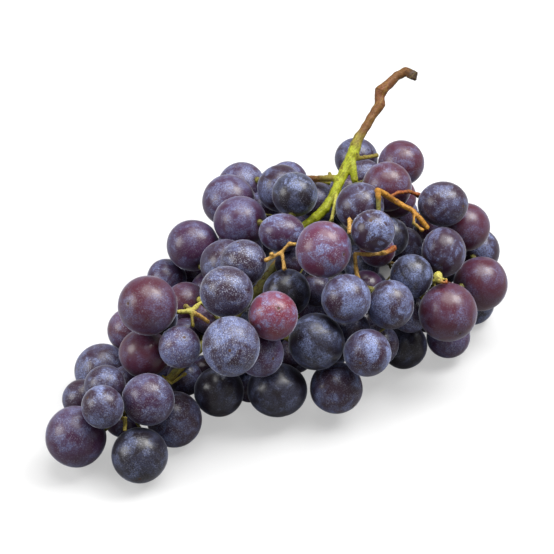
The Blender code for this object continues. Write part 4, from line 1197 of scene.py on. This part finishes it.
@dataclass
class BunchStem:
    """The stem with its twigs, rounded, with a swelling at each berry.

    Attributes:
        berries: all berries, each of which gets a swelling at its stalk.
        voxel: the fineness of the rounded mesh, in mm.
        collar: the radius of the swelling against the berry, in mm.
        neck: the radius of its other end, in mm.
        sink: how deep it reaches into the stalk and the berry's dimple, in mm.
        wrinkle: how high the bark's wrinkles stand, in mm.
        stub_swell: how far the end of a stub swells, in mm.
        stub_reach: how wide that swelling is, in pixels.
        waves: the wrinkles' waves, each a fineness and a height.
        regain: how much of its thickness the rounding takes, in mm.
        dimple_floor: where the berry's dimple starts, as a share of the berry's radius.
        full_berry: the radius of the smallest berry with a full swelling, in mm.
        fade: the reach over which a stretch's colour fades, as a share of the stretch's own.
        cut_off: where it ends, as a share of it.
        seed: the start of its random draws.
    """

    berries: list[Berry]
    voxel: float = 0.42
    collar: float = 1.7
    neck: float = 0.85
    sink: float = 0.5
    wrinkle: float = 0.12
    stub_swell: float = 0.4
    stub_reach: float = 2.2
    waves: tuple[tuple[float, float], ...] = ((0.8, 1.0), (1.6, 0.7), (2.9, 0.5))
    regain: float = 0.13
    dimple_floor: float = 0.965
    full_berry: float = 9.0
    fade: float = 0.62
    cut_off: float = 1.6
    seed: int = 8

    def add_collars(self, shape: bmesh.types.BMesh) -> int:
        """Add the swelling where each stalk meets its berry.

        Args:
            shape: the stem's mesh, in mm.

        Returns:
            How many were added.
        """
        count = 0
        reader = BerryReader()
        for berry in self.berries:
            if berry.stalk is None:
                continue
            skin = berry.reach(berry.stalk) * self.dimple_floor
            stalk_end = berry.halves.max() * reader.swell + reader.stalk_gap
            start, end = skin - 0.1, stalk_end + self.sink
            turned = Vector((0, 0, 1)).rotation_difference(Vector(berry.stalk)).to_matrix().to_4x4()
            turned.translation = Vector(berry.centre + berry.stalk * (start + end) / 2)
            size = min(1.0, berry.radius / self.full_berry)
            bmesh.ops.create_cone(
                shape,
                cap_ends=True,
                segments=12,
                radius1=self.collar * size,
                radius2=self.neck * size,
                depth=end - start,
                matrix=turned,
            )
            count += 1
        return count

    def rounded(self, shape: bmesh.types.BMesh) -> bpy.types.Mesh:
        """Fuse and round the stem.

        Args:
            shape: the stem's mesh with its swellings, in mm.

        Returns:
            The rounded mesh, in mm.
        """
        rough = bpy.data.meshes.new("rough stem")
        shape.to_mesh(rough)
        shape.free()
        body = bpy.data.objects.new("rough stem", rough)
        bpy.context.scene.collection.objects.link(body)
        fuse = body.modifiers.new("fuse", "REMESH")
        fuse.mode = "VOXEL"
        fuse.voxel_size = self.voxel
        fuse.use_smooth_shade = True
        bpy.context.view_layer.update()
        graph = bpy.context.evaluated_depsgraph_get()
        mesh = bpy.data.meshes.new_from_object(body.evaluated_get(graph))
        bpy.data.objects.remove(body, do_unlink=True)
        smooth = bmesh.new()
        smooth.from_mesh(mesh)
        for _ in range(3):
            bmesh.ops.smooth_vert(
                smooth, verts=smooth.verts, factor=0.5, use_axis_x=True, use_axis_y=True, use_axis_z=True
            )
        smooth.to_mesh(mesh)
        smooth.free()
        return mesh

    def wrinkled(self, points: np.ndarray, normals: np.ndarray) -> np.ndarray:
        """Give the bark its wrinkles and win back what the rounding took.

        Args:
            points: the corners, in mm.
            normals: the directions out of them.

        Returns:
            The moved corners.
        """
        draw = np.random.default_rng(self.seed)
        height = np.zeros(len(points))
        for fineness, size in self.waves:
            for _ in range(4):
                along = draw.normal(size=3) * fineness
                height += size * np.sin(points @ along + draw.uniform(0, 2 * math.pi))
        spots = np.stack(VIEW.place(points), 1)
        for end in STUB_ENDS:
            apart = np.linalg.norm(spots - np.array(end), axis=1)
            height += 3.0 / self.wrinkle * self.stub_swell * np.exp(-((apart / self.stub_reach) ** 2))
        return points + normals * (self.wrinkle * height / 3.0 + self.regain)[:, None]

    def bark_tones(self, points: np.ndarray) -> np.ndarray:
        """Colour the corners by the stretch of the stem that they belong to, with painted shade in dark green
        at the edges of each stretch and where no stretch is near.

        Args:
            points: the corners, in mm.

        Returns:
            A colour for each.
        """
        across, down = VIEW.place(points)
        spots = np.stack([across, down], 1)
        # Painted shade: corners that no stretch is near, and the edges of each stretch, fade to a dark green.
        total = np.full(len(points), 0.03)
        colour = np.tile(Bark.PAINTED_SHADE_GREEN.value, (len(points), 1)) * total[:, None]
        for zone in BARK_ZONES:
            nearest = np.full(len(points), np.inf)
            for first, last in zip(zone.line[:-1], zone.line[1:]):
                start, along = np.array(first), np.array(last) - np.array(first)
                share = np.clip((spots - start) @ along / (along @ along), 0, 1)
                apart = np.linalg.norm(spots - start - share[:, None] * along, axis=1)
                nearest = np.minimum(nearest, apart)
            weight = np.exp(-((nearest / (zone.reach * self.fade)) ** 2))
            weight = weight * (nearest < zone.reach * self.cut_off)
            total += weight
            colour += weight[:, None] * np.array(zone.bark.value)
        return np.column_stack([colour / total[:, None], np.ones(len(points))])

    def build(self, node: bpy.types.Object, bark: bpy.types.Material) -> bpy.types.Object:
        """Build the stem.

        Args:
            node: the stem's node.
            bark: the bark's material.

        Returns:
            The finished piece.
        """
        shape = merged_copy(node)
        LOG.info("%d stalks swell at their berries", self.add_collars(shape))
        mesh = self.rounded(shape)
        mesh.name = "grape_stem"
        points = np.empty(len(mesh.vertices) * 3, np.float32)
        mesh.vertices.foreach_get("co", points)
        normals = np.array([corner.vector for corner in mesh.vertex_normals])
        points = self.wrinkled(points.reshape(-1, 3).astype(float), normals)
        low, high = np.array(CAD_BOX[0]) / MM, np.array(CAD_BOX[1]) / MM
        points = np.clip(points, low, high)
        mesh.vertices.foreach_set("co", (points * MM).ravel())
        add_attribute(mesh, "bark_tone", "FLOAT_COLOR", self.bark_tones(points))
        mesh.materials.clear()
        mesh.materials.append(bark)
        mesh.shade_smooth()
        mesh.update()
        return placed(mesh, "stem")


# The studio


@dataclass(frozen=True)
class Softbox:
    """A soft lamp.

    Attributes:
        name: the lamp's name.
        place: where it stands, in metres.
        size: its side, in metres.
        power: its power in watts.
    """

    name: str
    place: tuple[float, float, float]
    size: float
    power: float

    def add(self) -> None:
        """Put the lamp in the scene, pointed at the bunch."""
        data = bpy.data.lights.new(self.name, "AREA")
        data.shape = "SQUARE"
        data.size = self.size
        data.energy = self.power
        lamp = bpy.data.objects.new(self.name, data)
        lamp.location = self.place
        lamp.rotation_euler = (Vector((0, 0, 0.03)) - lamp.location).to_track_quat("-Z", "Y").to_euler()
        bpy.context.scene.collection.objects.link(lamp)


@dataclass(frozen=True)
class PaintedShadePatch:
    """The long round patch of painted shade on the table, behind and under the bunch, where the painted glow
    is left off so that the table seen through the gaps of the bunch stays dark.

    Attributes:
        middle: its middle, in metres.
        turn: how far its long side is turned from X.
        halves: half its length and half its width, in metres.
        edge: where it starts to run out, as a share of its size.
    """

    middle: tuple[float, float]
    turn: float
    halves: tuple[float, float]
    edge: float = 0.72

    @classmethod
    def under(cls, berries: list[Berry], spread: float = 1.5, set_back: float = 0.045) -> "PaintedShadePatch":
        """Find the patch of painted shade behind and under some berries.

        Args:
            berries: the berries.
            spread: half its size in standard deviations of their middles.
            set_back: how far it lies behind them, in metres.

        Returns:
            The patch.
        """
        spots = np.array([berry.centre[:2] for berry in berries]) * MM
        powers, ways = np.linalg.eigh(np.cov(spots.T))
        halves = spread * np.sqrt(powers)
        middle = spots.mean(0) + np.array([0.0, set_back])
        turn = math.atan2(ways[1, 1], ways[0, 1])
        return cls((float(middle[0]), float(middle[1])), turn, (float(halves[1]), float(halves[0])))

    def outside(self, tree: Tree) -> Socket:
        """Build the mask of the painted glow: the table outside the patch of painted shade.

        Args:
            tree: the table's material tree.

        Returns:
            The mask, from 0 under the bunch, where shade is painted, to 1 away from it.
        """
        texture = tree.nodes.new("ShaderNodeTexCoord")
        fitted = tree.nodes.new("ShaderNodeMapping")
        fitted.vector_type = "TEXTURE"
        fitted.inputs["Location"].default_value = (*self.middle, 0.0)
        fitted.inputs["Rotation"].default_value = (0.0, 0.0, self.turn)
        fitted.inputs["Scale"].default_value = (*self.halves, 1.0)
        tree.links.new(texture.outputs["Object"], fitted.inputs["Vector"])
        length = tree.nodes.new("ShaderNodeVectorMath")
        length.operation = "LENGTH"
        tree.links.new(fitted.outputs["Vector"], length.inputs[0])
        return ramp(tree, length.outputs["Value"], self.edge, 1.0)


@dataclass(frozen=True)
class Studio:
    """A white table under soft light, with a painted glow that lightens the table and its cast shadows for
    the camera alone.

    Attributes:
        floor_side: the table's side, in metres.
        floor_colour: the table as it is seen.
        bounce_colour: how much light it throws back on the bunch.
        glow: painted light: how strongly the table glows for the camera alone, which lightens it and its cast
            shadows, away from under the bunch.
        shade: the patch of painted shade under the bunch, where the painted glow is left off.
        sky: the light from all round.
        lamps: the soft lamps.
    """

    shade: PaintedShadePatch
    floor_side: float = 6.0
    floor_colour: Colour = (0.34, 0.34, 0.34, 1.0)
    bounce_colour: Colour = (0.24, 0.24, 0.25, 1.0)
    glow: float = 0.43
    sky: float = 0.42
    lamps: tuple[Softbox, ...] = (
        Softbox("top", (0.10, 0.15, 1.10), 0.9, 14.0),
        Softbox("key", (0.45, 0.10, 0.70), 0.4, 6.8),
        Softbox("side", (-0.75, -0.15, 0.45), 0.45, 5.0),
    )

    def build(self) -> None:
        """Build the floor with its painted glow and its patch of painted shade, the lamps and the light from
        all round.
        """
        shape = bmesh.new()
        bmesh.ops.create_grid(shape, x_segments=1, y_segments=1, size=self.floor_side / 2)
        mesh = bpy.data.meshes.new("table_top")
        shape.to_mesh(mesh)
        shape.free()
        made, tree, shader = new_material("white_table_painted_glow")
        rays = tree.nodes.new("ShaderNodeLightPath").outputs["Is Camera Ray"]
        tree.links.new(blend(tree, rays, self.bounce_colour, self.floor_colour), shader.inputs["Base Color"])
        # Painted light: the table glows for camera rays alone, which lightens it and its cast shadows; the
        # glow is left off in the patch under the bunch, which is painted shade.
        painted_glow_mask = number(tree, "MULTIPLY", rays, self.shade.outside(tree))
        glow = blend(tree, painted_glow_mask, (0.0, 0.0, 0.0, 1.0), (self.glow, self.glow, self.glow, 1.0))
        tree.links.new(glow, shader.inputs["Emission Color"])
        shader.inputs["Emission Strength"].default_value = 1.0
        shader.inputs["Roughness"].default_value = 0.9
        shader.inputs["Specular IOR Level"].default_value = 0.1
        mesh.materials.append(made)
        floor = bpy.data.objects.new("table_top", mesh)
        bpy.context.scene.collection.objects.link(floor)
        for lamp in self.lamps:
            lamp.add()
        world = bpy.data.worlds.new("white room")
        world.use_nodes = True
        ground = world.node_tree.nodes["Background"]
        ground.inputs["Color"].default_value = (1.0, 1.0, 1.0, 1.0)
        ground.inputs["Strength"].default_value = self.sky
        bpy.context.scene.world = world
        bpy.context.scene.view_settings.view_transform = "Standard"


def main() -> None:
    """Build every piece, the studio and the camera."""
    logging.basicConfig(level=logging.INFO, format="%(message)s")
    reader = BerryReader()
    nodes = frame["nodes"]
    sprays = {name: reader.read(node) for name, node in sorted(nodes.items()) if name != "stem"}
    everyone = [berry for berries in sprays.values() for berry in berries]
    reader.find_stalks(everyone, nodes["stem"])
    LOG.info("%d berries, %d with a stalk", len(everyone), sum(b.stalk is not None for b in everyone))
    form = BerryForm().mesh()
    skin = GrapeSkin().build()
    for name, berries in sprays.items():
        piece = GrapeSpray(name, berries, everyone).build(form, skin)
        LOG.info("%s: %d berries, %d faces", piece.name, len(berries), len(piece.data.polygons))
    stem = BunchStem(everyone).build(nodes["stem"], StemBark().build())
    LOG.info("%s: %d faces", stem.name, len(stem.data.polygons))
    # The table's painted glow is left off in a patch of painted shade under the bunch.
    Studio(PaintedShadePatch.under(everyone)).build()
    VIEW.add_camera()


if __name__ == "__main__":
    main()
